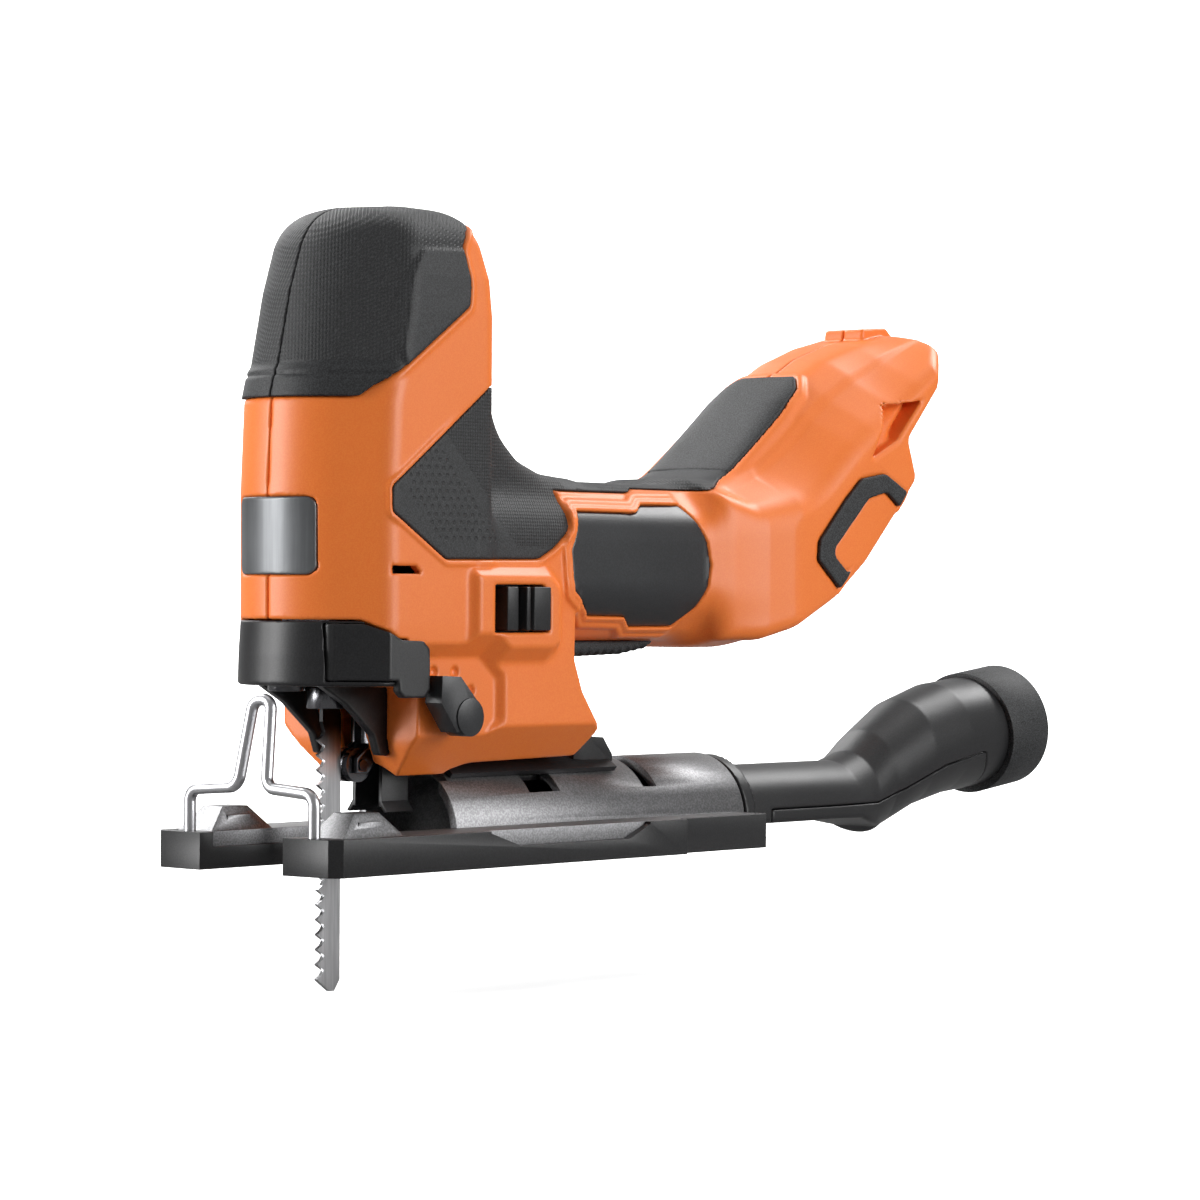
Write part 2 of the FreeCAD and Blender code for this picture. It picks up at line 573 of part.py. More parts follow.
# ---- plunger, blade and clamp -------------------------------------------------------------
def blade_outline():
    """X, Z points of the saw blade: a T shank, a toothed front edge and a slanted tip."""
    tooth_top = 37.6
    tip = BLADE_FRONT - 0.4
    gullet = tip + TOOTH_DEPTH
    teeth = [(gullet - 0.4, tooth_top)]
    for k in range(17):
        z = tooth_top - k * TOOTH_PITCH
        teeth += [(gullet, z - 0.7), (gullet - 0.9, z - 2.0), (tip, z - 3.0), (tip + 0.5, z - 3.5)]
    top = BLADE_SHANK_TOP
    shank = [(3.4, 43.5), (3.4, top - 5), (4.1, top - 5), (4.1, top - 2), (2.4, top),
             (-2.4, top), (-4.1, top - 2), (-4.1, top - 5), (-3.0, top - 5), (-3.0, 39.5)]
    end = [(0.3, BLADE_TIP), (2.0, BLADE_TIP), (BLADE_BACK, BLADE_TIP + 3.0)]
    return shank + teeth + end + [(BLADE_BACK, 41.0)]


def build_plunger():
    half_slot = BLADE_THICK / 2 + 0.02
    slot = box(-4.3, 4.3, -half_slot, half_slot, ROD_BOTTOM - 1, BLADE_SHANK_TOP + 0.1)
    z0, z1 = GEAR_Z - 7.0, GEAR_Z + 7.0
    yoke_seat = box(3.5, 20, -6, 6, z0, z1)
    save("plunger_rod", rod_z(0, 0, ROD_BOTTOM, ROD_TOP, ROD_R).cut([slot, yoke_seat]))
    yoke = box(6.0, 14.0, -18.0, 18.0, z0, z1).fuse(box(3.5, 6.0, -6, 6, z0, z1))
    track = CRANK_PIN_R + 0.1
    yoke = yoke.cut(box(8.0, 20, -14.0, 14.0, GEAR_Z - track, GEAR_Z + track))
    save("scotch_yoke", yoke.removeSplitter())
    save("saw_blade", prism_y(blade_outline(), -BLADE_THICK / 2, BLADE_THICK / 2))
    collar = rod_z(0, 0, COLLAR_BOTTOM, COLLAR_TOP, COLLAR_R)
    collar = collar.cut(rod_z(0, 0, ROD_BOTTOM - 0.1, COLLAR_TOP, ROD_R + RUN))
    save("blade_collar", collar.cut(rod_z(0, 0, 40, 45, 4.4)))


# ---- blade guide, orbital lever and switch ------------------------------------------------
def build_controls():
    pivot_x, pivot_z = FORK_PIVOT
    roller_x, roller_z = ROLLER
    cheek_side = [(pivot_x - 4.0, pivot_z), (pivot_x + 4.0, pivot_z), (17.2, 58.0), (17.2, 31.0),
                  (15.5, 29.5), (roller_x + 2.2, roller_z - 2.2),
                  (roller_x - 2.2, roller_z - 2.2), (roller_x - 2.2, roller_z + 2.0), (13.0, 33.5),
                  (13.0, 56.0)]
    cheek = prism_y(cheek_side, -4.2, -3.0).fuse(rod_y(pivot_x, -4.2, -3.0, pivot_z, 4.0))
    web = box(15.8, 17.2, -3.0, 3.0, 33.0, 56.0)
    fork = fused([cheek, mirrored(cheek), web])
    fork = fork.cut([rod_y(pivot_x, -9, 9, pivot_z, 2.0 + RUN),
                     rod_y(roller_x, -9, 9, roller_z, 1.5)])
    save("guide_fork", fork)
    save("roller_pin", rod_y(roller_x, -4.6, 4.6, roller_z, 1.5))
    roller = rod_y(roller_x, -2.6, 2.6, roller_z, ROLLER_R)
    groove = rod_y(roller_x, -0.75, 0.75, roller_z, ROLLER_R + 1)
    groove = groove.cut(rod_y(roller_x, -0.75, 0.75, roller_z, ROLLER_R - 0.6))
    save("guide_roller", roller.cut([groove, rod_y(roller_x, -5, 5, roller_z, 1.5 + RUN)]))

    x, z = ORBIT_PIVOT
    arm = prism_y([(x - 5.0, z - 4.0), (x - 11.2, z + 4.0), (x - 10.8, z + 11.3),
                   (x - 3.5, z + 11.0), (x + 4.5, z + 3.0), (x + 4.5, z - 3.0)], -33.0, -27.0)
    knob = arm.fuse(rod_y(x, -33.5, -27.0, z, 5.2)).removeSplitter()
    shaft = rod_y(x, -27.0, -6.0, z, ORBIT_SHAFT_R).fuse(rod_y(x, -6.0, 9.0, z, 1.1))
    save("orbital_lever", knob)
    save("orbital_shaft", shaft)

    slider = box(37.0, 55.0, -31.8, -22.8, 64.3, 76.3)
    valley = prism_z([(41.0, -33), (42.5, -29.2), (47.0, -29.2), (48.5, -33)], 60, 80)
    ridge = box(44.0, 45.6, -32.6, -28.0, 64.3, 76.3)
    flange = box(35.5, 57.5, -24.2, -22.8, 62.2, 78.0)
    slider = slider.cut(valley).fuse([ridge, flange])
    save("switch_slider", slider.removeSplitter())
    save("switch_module", box(36.0, 52.0, -21.8, -10.0, 52.0, 66.0))
    board = box(104.0, 132.0, -18.0, 18.0, 84.0, 85.8)
    chips = [box(106.0 + 7.0 * k, 111.0 + 7.0 * k, -6.0, 6.0, 85.8, 92.0) for k in range(3)]
    save("controller_board", board.fuse(chips))
    terminal = dock_box(198, 236, 66.0, 83.0, -15.0, 15.0)
    slots = [dock_box(202, 240, 76.0, 90.0, y - 1.2, y + 1.2) for y in (-10.0, -3.5, 3.5, 10.0)]
    save("terminal_block", terminal.cut(slots))


# ---- shoe ---------------------------------------------------------------------------------
def shoe_plan(half, rear_half, front, rear, gap, gap_end):
    right = [(front, gap), (front + 0.8, half - 3.0), (front + 3.5, half), (SHOE_STEP - 1.5, half),
             (SHOE_STEP + 1.5, rear_half),
             (rear - 2.0, rear_half), (rear, rear_half - 2.0)]
    return [(gap_end, gap)] + right + [(x, -y) for x, y in reversed(right)] + [(gap_end, -gap)]


def arc_slot(x0, x1, half_angle, radius):
    """A sector of a disc about the tunnel's axis, half_angle degrees either side of straight up."""
    angles = [math.radians(half_angle * k / 3.0) for k in range(-3, 4)]
    rim = [(radius * math.sin(a), TILT_Z + radius * math.cos(a)) for a in angles]
    return prism_x([(0.0, TILT_Z)] + rim, x0, x1)


def rectangle(x0, x1, y0, y1, z):
    corners = [(x0, y0), (x1, y0), (x1, y1), (x0, y1), (x0, y0)]
    return Part.makePolygon([vec(x, y, z) for x, y in corners])


def build_shoe():
    w = COVER_WALL + 0.05
    plan = shoe_plan(SHOE_HALF_WIDTH - w, SHOE_REAR_HALF_WIDTH - w, SHOE_FRONT + 4.2,
                     SHOE_REAR - 2.5, SHOE_GAP + 1.6, SHOE_GAP_END + 1.5)
    deck = prism_z(plan, 2.3, DECK_TOP)
    inner_r = TUNNEL_R - TUNNEL_WALL
    tunnel = rod_x(TUNNEL_FRONT, TUNNEL_REAR, 0, TILT_Z, TUNNEL_R)
    tunnel = tunnel.common(box(0, 200, -40, 40, 4.0, 40))
    bore = rod_x(TUNNEL_FRONT - 10, TUNNEL_REAR + 10, 0, TILT_Z, inner_r)
    bore = bore.common(box(-40, 250, -40, 40, 4.6, 40))
    shoe = deck.fuse(tunnel).cut(bore)
    mouth = prism_y([(20.0, DECK_TOP), (20.0, 40.0), (TUNNEL_FRONT + 5.0, 40.0),
                     (TUNNEL_FRONT + 5.0, 27.5),
                     (TUNNEL_FRONT, DECK_TOP + 2.0), (TUNNEL_FRONT, DECK_TOP)], -12, 12)
    shoe = shoe.cut(mouth)
    under_slots = rod_x(0, 200, 0, TILT_Z, 12)
    for x, half in ((CLAMP_X, 6.5), (117.0, 3.0)):
        slot = arc_slot(x - half, x + half, 56.0, TUNNEL_R + 3)
        shoe = shoe.cut(slot.cut(under_slots))
    pad = Part.makeLoft([rectangle(-27.0, -2.0, 18.0, 31.5, 9.0),
                         rectangle(-19.5, -10.0, 21.0, 28.5, 16.3)], True, True)
    boss = box(-19.0, -10.5, 19.4, 30.0, 9.0, 14.0)
    shoe = shoe.fuse([pad, mirrored(pad), boss, mirrored(boss)]).removeSplitter()
    wire_holes = [rod_z(WIRE_X, y, WIRE_FOOT_Z, 24.0, WIRE_R) for y in (-WIRE_Y, WIRE_Y)]
    save("shoe_plate", shoe.cut(wire_holes))
    save("wire_guard", wire_guard())

    cover_plan = shoe_plan(SHOE_HALF_WIDTH, SHOE_REAR_HALF_WIDTH, SHOE_FRONT, SHOE_REAR,
                           SHOE_GAP, SHOE_GAP_END)
    room = shoe_plan(SHOE_HALF_WIDTH - COVER_WALL, SHOE_REAR_HALF_WIDTH - COVER_WALL,
                     SHOE_FRONT + 4.0, SHOE_REAR - 2.3, SHOE_GAP + 1.5, SHOE_GAP_END + 1.4)
    cover = prism_z(cover_plan, 0.0, DECK_TOP).cut(prism_z(room, 2.2, 20.0))
    edge = DECK_TOP - 0.6
    window = prism_y([(28.0, 30), (28.0, edge), (40.0, 5.6), (86.0, 5.6), (95.0, edge), (95.0, 30)],
                     -40, 40)
    inner = SHOE_HALF_WIDTH - COVER_WALL
    cover = cover.cut(window.cut(box(0, 200, -inner, inner, 0, 60)))
    cover = cover.cut(box(-28, 40, -SHOE_GAP - 1.6, SHOE_GAP + 1.6, 6.0, 40))
    cover = cover.cut(wire_holes)
    cover = cover.cut(box(149, 160, -TUNNEL_R - 0.2, TUNNEL_R + 0.2, 3.8, 30))
    save("sole_cover", cover)


WIRE_X = -29.2
WIRE_Y = 23.5
WIRE_FOOT_Z = 4.0


def wire_guard():
    """Bent wire: a foot in each arm, a step inwards and a tall narrow loop in front of the blade."""
    points = [(WIRE_X, WIRE_Y, WIRE_FOOT_Z), (WIRE_X, WIRE_Y, 21.4), (WIRE_X + 0.3, 5.4, 22.6),
              (-25.2, 3.3, 45.8),
              (-25.2, -3.3, 45.8), (WIRE_X + 0.3, -5.4, 22.6), (WIRE_X, -WIRE_Y, 21.4),
              (WIRE_X, -WIRE_Y, WIRE_FOOT_Z)]
    radii = [3.6, 3.6, 3.0, 3.0, 3.6, 3.6]
    return swept_wire([vec(*p) for p in points], radii, WIRE_R)


def swept_wire(points, radii, r):
    """A round wire along straight runs joined by tangent arcs of the given radii."""
    edges = []
    start = points[0]
    for i, radius in enumerate(radii):
        corner = points[i + 1]
        into = (corner - points[i]).normalize()
        out = (points[i + 2] - corner).normalize()
        turn = into.getAngle(out)
        reach = radius * math.tan(turn / 2)
        a, b = corner - into * reach, corner + out * reach
        middle = (out - into).normalize()
        mid = corner + middle * (radius / math.cos(turn / 2) - radius)
        edges.append(Part.LineSegment(start, a).toShape())
        edges.append(Part.Arc(a, mid, b).toShape())
        start = b
    edges.append(Part.LineSegment(start, points[-1]).toShape())
    path = Part.Wire(edges)
    profile = Part.Wire(Part.makeCircle(r, points[0], (points[1] - points[0]).normalize()))
    return path.makePipeShell([profile], True, False)


def build_clamp():
    over_tunnel = rod_x(30.0, 120.0, 0, TILT_Z, TUNNEL_R + 0.25)
    ring = rod_x(36.0, 106.0, 0, TILT_Z, TUNNEL_R + 1.8).cut(over_tunnel)
    wedge = arc_slot(30.0, 110.0, SADDLE_ANGLE, TUNNEL_R + 5)
    lug = prism_y([(91.0, 27.0), (91.0, 41.0), (94.0, 39.0), (97.0, 33.5), (104.0, 33.0),
                   (108.0, 28.0), (108.0, 26.0)], -9.0, 9.0)
    saddle = ring.common(wedge).fuse(lug.cut(over_tunnel)).removeSplitter()
    bolt_hole = rod_z(CLAMP_X, 0, 10, 42, BOLT_HOLE_R)
    save("shoe_saddle", saddle.cut(bolt_hole))
    inner_r = TUNNEL_R - TUNNEL_WALL - 0.3
    x0, x1 = CLAMP_X - 8.0, CLAMP_X + 8.0
    washer = rod_x(x0, x1, 0, TILT_Z, inner_r).cut(rod_x(x0, x1, 0, TILT_Z, inner_r - 1.6))
    washer = washer.common(arc_slot(x0, x1, 25.0, TUNNEL_R + 3))
    save("clamp_washer", washer.cut(bolt_hole))
    head_z = TILT_Z + inner_r - 2.7
    bolt = rod_z(CLAMP_X, 0, head_z, 41.0, 3.0)
    save("clamp_bolt", bolt.fuse(rod_z(CLAMP_X, 0, head_z - 3.0, head_z, 5.0)))

    duct = prism_y([(15.5, 33.0), (15.0, 16.0), (25.5, 16.0), (25.5, 33.0)], -5.5, 5.5)
    duct = duct.cut(box(14.0, 24.3, -4.5, 4.5, 10.0, 40.0))
    flare = prism_x([(4.5, 17.5), (5.5, 17.5), (7.6, 14.6), (6.6, 14.4)], 15.0, 25.5)
    save("dust_duct", fused([duct, flare, mirrored(flare)]))


# ---- dust tube ----------------------------------------------------------------------------
def d_section(x, r, floor):
    """Flat-bottomed round section of the dust tube as a closed polygon wire in the plane X = x."""
    start = math.asin((floor - TILT_Z) / r)
    count = 16
    angles = [start + (math.pi - 2 * start) * k / count for k in range(count + 1)]
    return [(x, r * math.cos(a), TILT_Z + r * math.sin(a)) for a in angles]


def ring_section(x, z, r, tilt):
    """A 17-sided round section whose normal leans up by tilt from +X."""
    start = -math.radians(60.0)
    angles = [start + (math.pi - 2 * start) * k / 16 for k in range(17)]
    lean, rise = math.sin(tilt), math.cos(tilt)
    return [(x - r * math.sin(a) * lean, r * math.cos(a),
             z + r * math.sin(a) * rise) for a in angles]


def tube_loft(sections):
    wires = [Part.makePolygon([vec(*p) for p in points + [points[0]]]) for points in sections]
    return Part.makeLoft(wires, True, True)


def tube_sections(inset):
    x, z = PORT_START
    return [d_section(84.0 - inset, DUST_R - inset, 5.4 + inset),
            d_section(222.0, DUST_R - inset, 5.4 + inset),
            ring_section(240.0, 17.3, 14.3 - inset, math.radians(20.0)),
            ring_section(258.0, 24.4, 16.3 - inset, math.radians(19.0)),
            ring_section(276.0, 28.6, 17.4 - inset, math.radians(10.0)),
            ring_section(x + 5.0 + inset, z + 0.7, 17.4 - inset, PORT_TILT)]


def port_disc(start, length, r):
    """A cylinder on the hose port's axis, start millimetres behind the collar's front rim."""
    axis = vec(math.cos(PORT_TILT), 0, math.sin(PORT_TILT))
    rim = vec(PORT_START[0], 0, PORT_START[1])
    return Part.makeCylinder(r, length, rim + axis * start, axis)


def build_dust_tube():
    tube = tube_loft(tube_sections(0.0)).cut(tube_loft(tube_sections(1.6)))
    seal = rod_x(159.0, 164.0, 0, TILT_Z, TUNNEL_R - 0.6).common(box(0, 300, -30, 30, 5.4, 40))
    seal = seal.cut(tube_loft(tube_sections(0.8)))
    cover_side = [(176.0, 4.0), (176.0, 9.8), (246.0, 9.8), (262.0, 13.5), (282.0, 21.0),
                  (290.0, 24.0), (290.0, 4.0)]
    cover_zone = prism_y(cover_side, -30, 30)
    save("tube_cover", tube.common(cover_zone))
    save("dust_tube", tube.cut(cover_zone).fuse(seal))
    collar = port_disc(0.0, PORT_LENGTH, PORT_R)
    collar = collar.cut([port_disc(6.0, PORT_LENGTH, PORT_BORE_R), port_disc(-1.0, 10.0, 15.6)])
    save("hose_collar", collar.cut(tube_loft(tube_sections(0.0))))


os.makedirs("parts", exist_ok=True)
build_housing()
build_frame()
build_motor()
build_gears()
build_plunger()
build_controls()
build_shoe()
build_clamp()
build_dust_tube()
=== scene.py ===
"""Looks of the barrel-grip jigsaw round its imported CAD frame. Fields and outlines are in mm."""
import json
import math
import bmesh
import bpy
import numpy as np
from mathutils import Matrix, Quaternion, Vector


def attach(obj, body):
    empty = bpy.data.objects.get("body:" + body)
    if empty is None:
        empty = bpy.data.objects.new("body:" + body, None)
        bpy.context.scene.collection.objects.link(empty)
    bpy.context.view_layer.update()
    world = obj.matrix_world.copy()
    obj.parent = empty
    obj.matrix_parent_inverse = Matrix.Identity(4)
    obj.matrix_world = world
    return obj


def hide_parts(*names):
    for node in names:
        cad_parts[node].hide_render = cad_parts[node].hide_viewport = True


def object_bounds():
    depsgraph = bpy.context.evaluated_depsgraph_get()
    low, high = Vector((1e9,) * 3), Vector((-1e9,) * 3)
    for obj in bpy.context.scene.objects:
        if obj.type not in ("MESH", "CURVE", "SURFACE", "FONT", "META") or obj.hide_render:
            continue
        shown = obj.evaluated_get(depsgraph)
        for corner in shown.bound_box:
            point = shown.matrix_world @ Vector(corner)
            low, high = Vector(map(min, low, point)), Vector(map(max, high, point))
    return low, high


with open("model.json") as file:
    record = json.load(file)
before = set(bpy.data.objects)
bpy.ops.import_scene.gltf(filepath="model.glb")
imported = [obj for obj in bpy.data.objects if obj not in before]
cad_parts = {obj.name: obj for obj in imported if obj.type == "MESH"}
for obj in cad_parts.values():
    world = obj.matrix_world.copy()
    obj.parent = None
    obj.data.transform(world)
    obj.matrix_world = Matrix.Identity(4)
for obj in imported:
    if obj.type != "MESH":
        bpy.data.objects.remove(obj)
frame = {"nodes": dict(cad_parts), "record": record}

CAD_BOX = [list(corner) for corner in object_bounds()]
MM = 0.001
BODIES = frame["record"]["behaviour"]["bodies"]
BODY_OF = {node: body for body, nodes in BODIES.items() for node in nodes}
SLOT_OF = {part["node"]: part["material_slot"] for part in frame["record"]["subparts"]}
HEADING = math.radians(49.39)     # the camera looks this far from +Y towards +X


# ---- camera, lights and stage -------------------------------------------------------------
def make_camera():
    camera = bpy.data.objects.new("camera", bpy.data.cameras.new("camera"))
    bpy.context.scene.collection.objects.link(camera)
    camera.data.lens = 122.25
    camera.data.sensor_width = 36.0
    camera.data.clip_end = 20.0
    dip, roll = math.radians(0.148), math.radians(0.34)
    level = math.cos(dip)
    look = Vector((math.sin(HEADING) * level, math.cos(HEADING) * level, -math.sin(dip)))
    camera.rotation_mode = "QUATERNION"
    camera.rotation_quaternion = look.to_track_quat("-Z", "Y") @ Quaternion((0, 0, 1), roll)
    camera.location = (-0.7912, -0.7750, 0.0757)
    bpy.context.scene.camera = camera


def area_light(name, place, target, size, watts):
    light = bpy.data.lights.new(name, "AREA")
    light.shape = "RECTANGLE"
    light.size, light.size_y = size
    light.energy = watts
    lamp = bpy.data.objects.new(name, light)
    bpy.context.scene.collection.objects.link(lamp)
    lamp.location = place
    lamp.rotation_euler = (Vector(target) - Vector(place)).to_track_quat("-Z", "Y").to_euler()


def make_stage():
    """A pale sweep: a floor under the blade that curves up into a wall behind the tool."""
    floor_z = CAD_BOX[0][2] - 0.001
    front, rear, radius, wall, half_width = -4.16, 1.6, 1.2, 4.0, 4.0
    profile = [(front, floor_z), (rear, floor_z)]
    profile += [(rear + radius * math.sin(a), floor_z + radius * (1 - math.cos(a)))
                for a in np.linspace(0.0, math.pi / 2, 25)[1:]]
    profile.append((rear + radius, floor_z + wall))
    forward = Vector((math.sin(HEADING), math.cos(HEADING), 0))
    side = Vector((forward.y, -forward.x, 0))
    mesh = bpy.data.meshes.new("stage")
    verts = []
    for along, up in profile:
        for across in (-half_width, half_width):
            verts.append(forward * along + side * across + Vector((0, 0, up)))
    faces = [(2 * i, 2 * i + 1, 2 * i + 3, 2 * i + 2) for i in range(len(profile) - 1)]
    mesh.from_pydata([tuple(v) for v in verts], [], faces)
    mesh.polygons.foreach_set("use_smooth", [True] * len(mesh.polygons))
    stage = bpy.data.objects.new("stage", mesh)
    bpy.context.scene.collection.objects.link(stage)
    stage.data.materials.append(stage_finish())


def stage_finish():
    """White to the eye, and darker to the light that it throws back at the tool."""
    finish = material("stage_white", (0.86, 0.86, 0.86), 0.75, grain=0.0)
    n = Nodes(finish.node_tree)
    shader = finish.node_tree.nodes["Principled BSDF"]
    base = shader.inputs["Base Color"]
    seen = n.add("ShaderNodeLightPath").outputs["Is Camera Ray"]
    n.put(base, n.mix(seen, (0.20, 0.20, 0.20, 1.0), base.links[0].from_socket))
    shader.inputs["Emission Color"].default_value = (1.0, 1.0, 1.0, 1.0)
    n.put(shader.inputs["Emission Strength"], n.math("MULTIPLY", seen, 0.55))
    return finish


def make_lights():
    world = bpy.data.worlds.new("studio")
    bpy.context.scene.world = world
    world.use_nodes = True
    sky = world.node_tree.nodes["Background"]
    sky.inputs["Color"].default_value = (1.0, 1.0, 1.0, 1.0)
    sky.inputs["Strength"].default_value = 0.24
    bpy.context.scene.view_settings.view_transform = "Standard"
    middle = (0.1, 0.0, 0.08)
    area_light("key", (0.45, -1.2, 0.36), middle, (0.6, 0.9), 13.5)
    area_light("front_fill", (-1.1, 0.75, 0.3), middle, (0.5, 0.9), 22.0)
    area_light("top", (0.1, 0.1, 1.4), middle, (1.2, 0.8), 2.6)
    area_light("rim", (0.5, 1.2, 0.7), middle, (1.0, 0.8), 5.5)
    for across in (-1.3, 1.3):
        place = (1.2 + across * 0.65, 1.0 - across * 0.75, 1.9)
        area_light("backdrop", place, (2.0, 1.7, 0.3), (1.2, 1.2), 70.0)


# ---- materials ----------------------------------------------------------------------------
class Nodes:
    """Short calls for building one material's node tree."""

    def __init__(self, tree):
        self.tree = tree

    def add(self, kind, **inputs):
        node = self.tree.nodes.new(kind)
        for name, value in inputs.items():
            self.put(node.inputs[name.replace("_", " ")], value)
        return node

    def put(self, socket, value):
        if isinstance(value, bpy.types.NodeSocket):
            self.tree.links.new(value, socket)
        else:
            socket.default_value = value

    def math(self, operation, a, b=0.0, clamp=False):
        node = self.tree.nodes.new("ShaderNodeMath")
        node.operation = operation
        node.use_clamp = clamp
        self.put(node.inputs[0], a)
        self.put(node.inputs[1], b)
        return node.outputs[0]

    def step(self, value, low, high):
        """0 below low, 1 above high and smooth between them."""
        node = self.tree.nodes.new("ShaderNodeMapRange")
        node.interpolation_type = "SMOOTHSTEP"
        for i, v in enumerate((value, low, high, 0.0, 1.0)):
            self.put(node.inputs[i], v)
        return node.outputs[0]

    def noise(self, scale, detail=3.0, stretch=(1.0, 1.0, 1.0)):
        mapping = self.add("ShaderNodeMapping", Vector=self.place(), Scale=stretch)
        node = self.add("ShaderNodeTexNoise", Vector=mapping.outputs[0], Scale=scale, Detail=detail)
        return node.outputs["Fac"]

    def place(self):
        return self.add("ShaderNodeTexCoord").outputs["Object"]

    def xyz(self):
        """The point in millimetres."""
        split = self.add("ShaderNodeSeparateXYZ", Vector=self.place())
        return [self.math("MULTIPLY", split.outputs[i], 1000.0) for i in range(3)]

    def mix(self, factor, a, b):
        node = self.tree.nodes.new("ShaderNodeMix")
        node.data_type = "RGBA"
        self.put(node.inputs[0], factor)
        self.put(node.inputs[6], a)
        self.put(node.inputs[7], b)
        return node.outputs[2]


def shade(colour, factor):
    return tuple(min(1.0, c * factor) for c in colour[:3]) + (1.0,)


GLOSS_SPREAD = 0.12               # how unevenly a finish shines


def material(name, colour, rough, metal=0.0, grain=0.05, grain_scale=2500.0, patch=0.06,
             pattern=None, specular=0.5, coat=0.0, brushed=(1.0, 1.0, 1.0), tint_to=0.35):
    """Procedural finish: blotchy colour, uneven gloss, fine grain, and an extra pattern.

    grain is the depth of the fine relief and patch is the strength of the blotches. A pattern
    gives relief and a mask of painted shade, which takes the colour down to tint_to times itself.
    """
    made = bpy.data.materials.new(name)
    made.use_nodes = True
    tree = made.node_tree
    n = Nodes(tree)
    shader = tree.nodes["Principled BSDF"]
    shader.inputs["Metallic"].default_value = metal
    shader.inputs["Specular IOR Level"].default_value = specular
    shader.inputs["Coat Weight"].default_value = coat
    cloud = n.noise(38.0)
    fine = n.noise(grain_scale, 2.0, brushed)
    blotch = n.mix(cloud, shade(colour, 1.0 - patch), shade(colour, 1.0 + patch))
    speck = n.mix(n.step(fine, 0.35, 0.68), (0.0, 0.0, 0.0, 1.0), (1.0, 1.0, 1.0, 1.0))
    base = tree.nodes.new("ShaderNodeMix")
    base.data_type = "RGBA"
    base.blend_type = "SOFT_LIGHT"
    base.inputs[0].default_value = min(1.0, grain * 2.0)
    tree.links.new(blotch, base.inputs[6])
    tree.links.new(speck, base.inputs[7])
    height = n.math("MULTIPLY", fine, grain)
    colour_out = base.outputs[2]
    if pattern:
        relief, painted_shade = pattern(n)
        height = n.math("ADD", height, relief)
        # painted shade: the pattern's mask darkens the colour towards tint_to times itself
        colour_out = n.mix(painted_shade, colour_out, shade(colour, tint_to))
    tree.links.new(colour_out, shader.inputs["Base Color"])
    gloss = n.math("ADD", n.math("MULTIPLY", cloud, GLOSS_SPREAD), rough - GLOSS_SPREAD / 2.0)
    tree.links.new(gloss, shader.inputs["Roughness"])
    if grain:
        bump = n.add("ShaderNodeBump", Strength=0.5, Distance=0.0004, Height=height)
        tree.links.new(bump.outputs[0], shader.inputs["Normal"])
    return made


def knurl(n, pitch, u, v, region):
    """Fine diamond knurling along u and v inside a region: its relief and its shadow."""
    turn = 2.0 * math.pi / pitch * math.sqrt(0.5)
    a = n.math("SINE", n.math("MULTIPLY", n.math("ADD", u, v), turn))
    b = n.math("SINE", n.math("MULTIPLY", n.math("SUBTRACT", u, v), turn))
    bumps = n.math("MULTIPLY", n.step(n.math("MULTIPLY", a, b), -0.3, 0.5), region)
    shadow = n.math("MULTIPLY", n.math("SUBTRACT", region, bumps), 0.55, clamp=True)
    return n.math("MULTIPLY", bumps, 0.9), shadow


# ---- fields: negative inside, in millimetres ----------------------------------------------
def smooth_max(a, b, k):
    h = np.clip(0.5 + (a - b) / (2.0 * k), 0.0, 1.0)
    return b + (a - b) * h + k * h * (1.0 - h)


def smooth_min(a, b, k):
    return -smooth_max(-a, -b, k)


def ramp(value, low, high):
    t = np.clip((value - low) / (high - low), 0.0, 1.0)
    return t * t * (3.0 - 2.0 * t)


def outline(points, soft):
    """Signed distance to a closed polygon, with its corners rounded by about soft."""
    corners = np.array(points, float)

    def plain(u, v):
        far = np.full(np.broadcast(u, v).shape, 1e12)
        odd = np.zeros(far.shape, bool)
        for (u0, v0), (u1, v1) in zip(corners, np.roll(corners, -1, axis=0)):
            du, dv = u1 - u0, v1 - v0
            t = np.clip(((u - u0) * du + (v - v0) * dv) / (du * du + dv * dv), 0.0, 1.0)
            far = np.minimum(far, (u - u0 - t * du) ** 2 + (v - v0 - t * dv) ** 2)
            if dv:
                odd ^= ((v0 > v) != (v1 > v)) & (u < u0 + (v - v0) * du / dv)
        return np.where(odd, -1.0, 1.0) * np.sqrt(far)

    def rounded(u, v):
        total = plain(u, v)
        for k in range(4):
            turn = math.pi * (k + 0.5) / 2.0
            total = total + plain(u + soft * math.cos(turn), v + soft * math.sin(turn))
        return total / 5.0
    return rounded


CORNERS = [(i, j, k) for i in (0, 1) for j in (0, 1) for k in (0, 1)]


def cell_middles(values, cells):
    """For each cell, the mean of the points where the level crosses its edges, in cells."""
    at = {c: values[tuple((cells + c).T)].astype(float) for c in CORNERS}
    total = np.zeros((len(cells), 3))
    hits = np.zeros(len(cells))
    for a in CORNERS:
        for axis in range(3):
            if a[axis]:
                continue
            b = tuple(1 if i == axis else a[i] for i in range(3))
            crosses = (at[a] < 0) != (at[b] < 0)
            part = np.where(crosses, at[a] / np.where(crosses, at[a] - at[b], 1.0), 0.0)
            spot = np.array(a, float)[None, :] * np.ones((len(cells), 1))
            spot[:, axis] += part
            total += np.where(crosses[:, None], spot, 0.0)
            hits += crosses
    return total / hits[:, None]


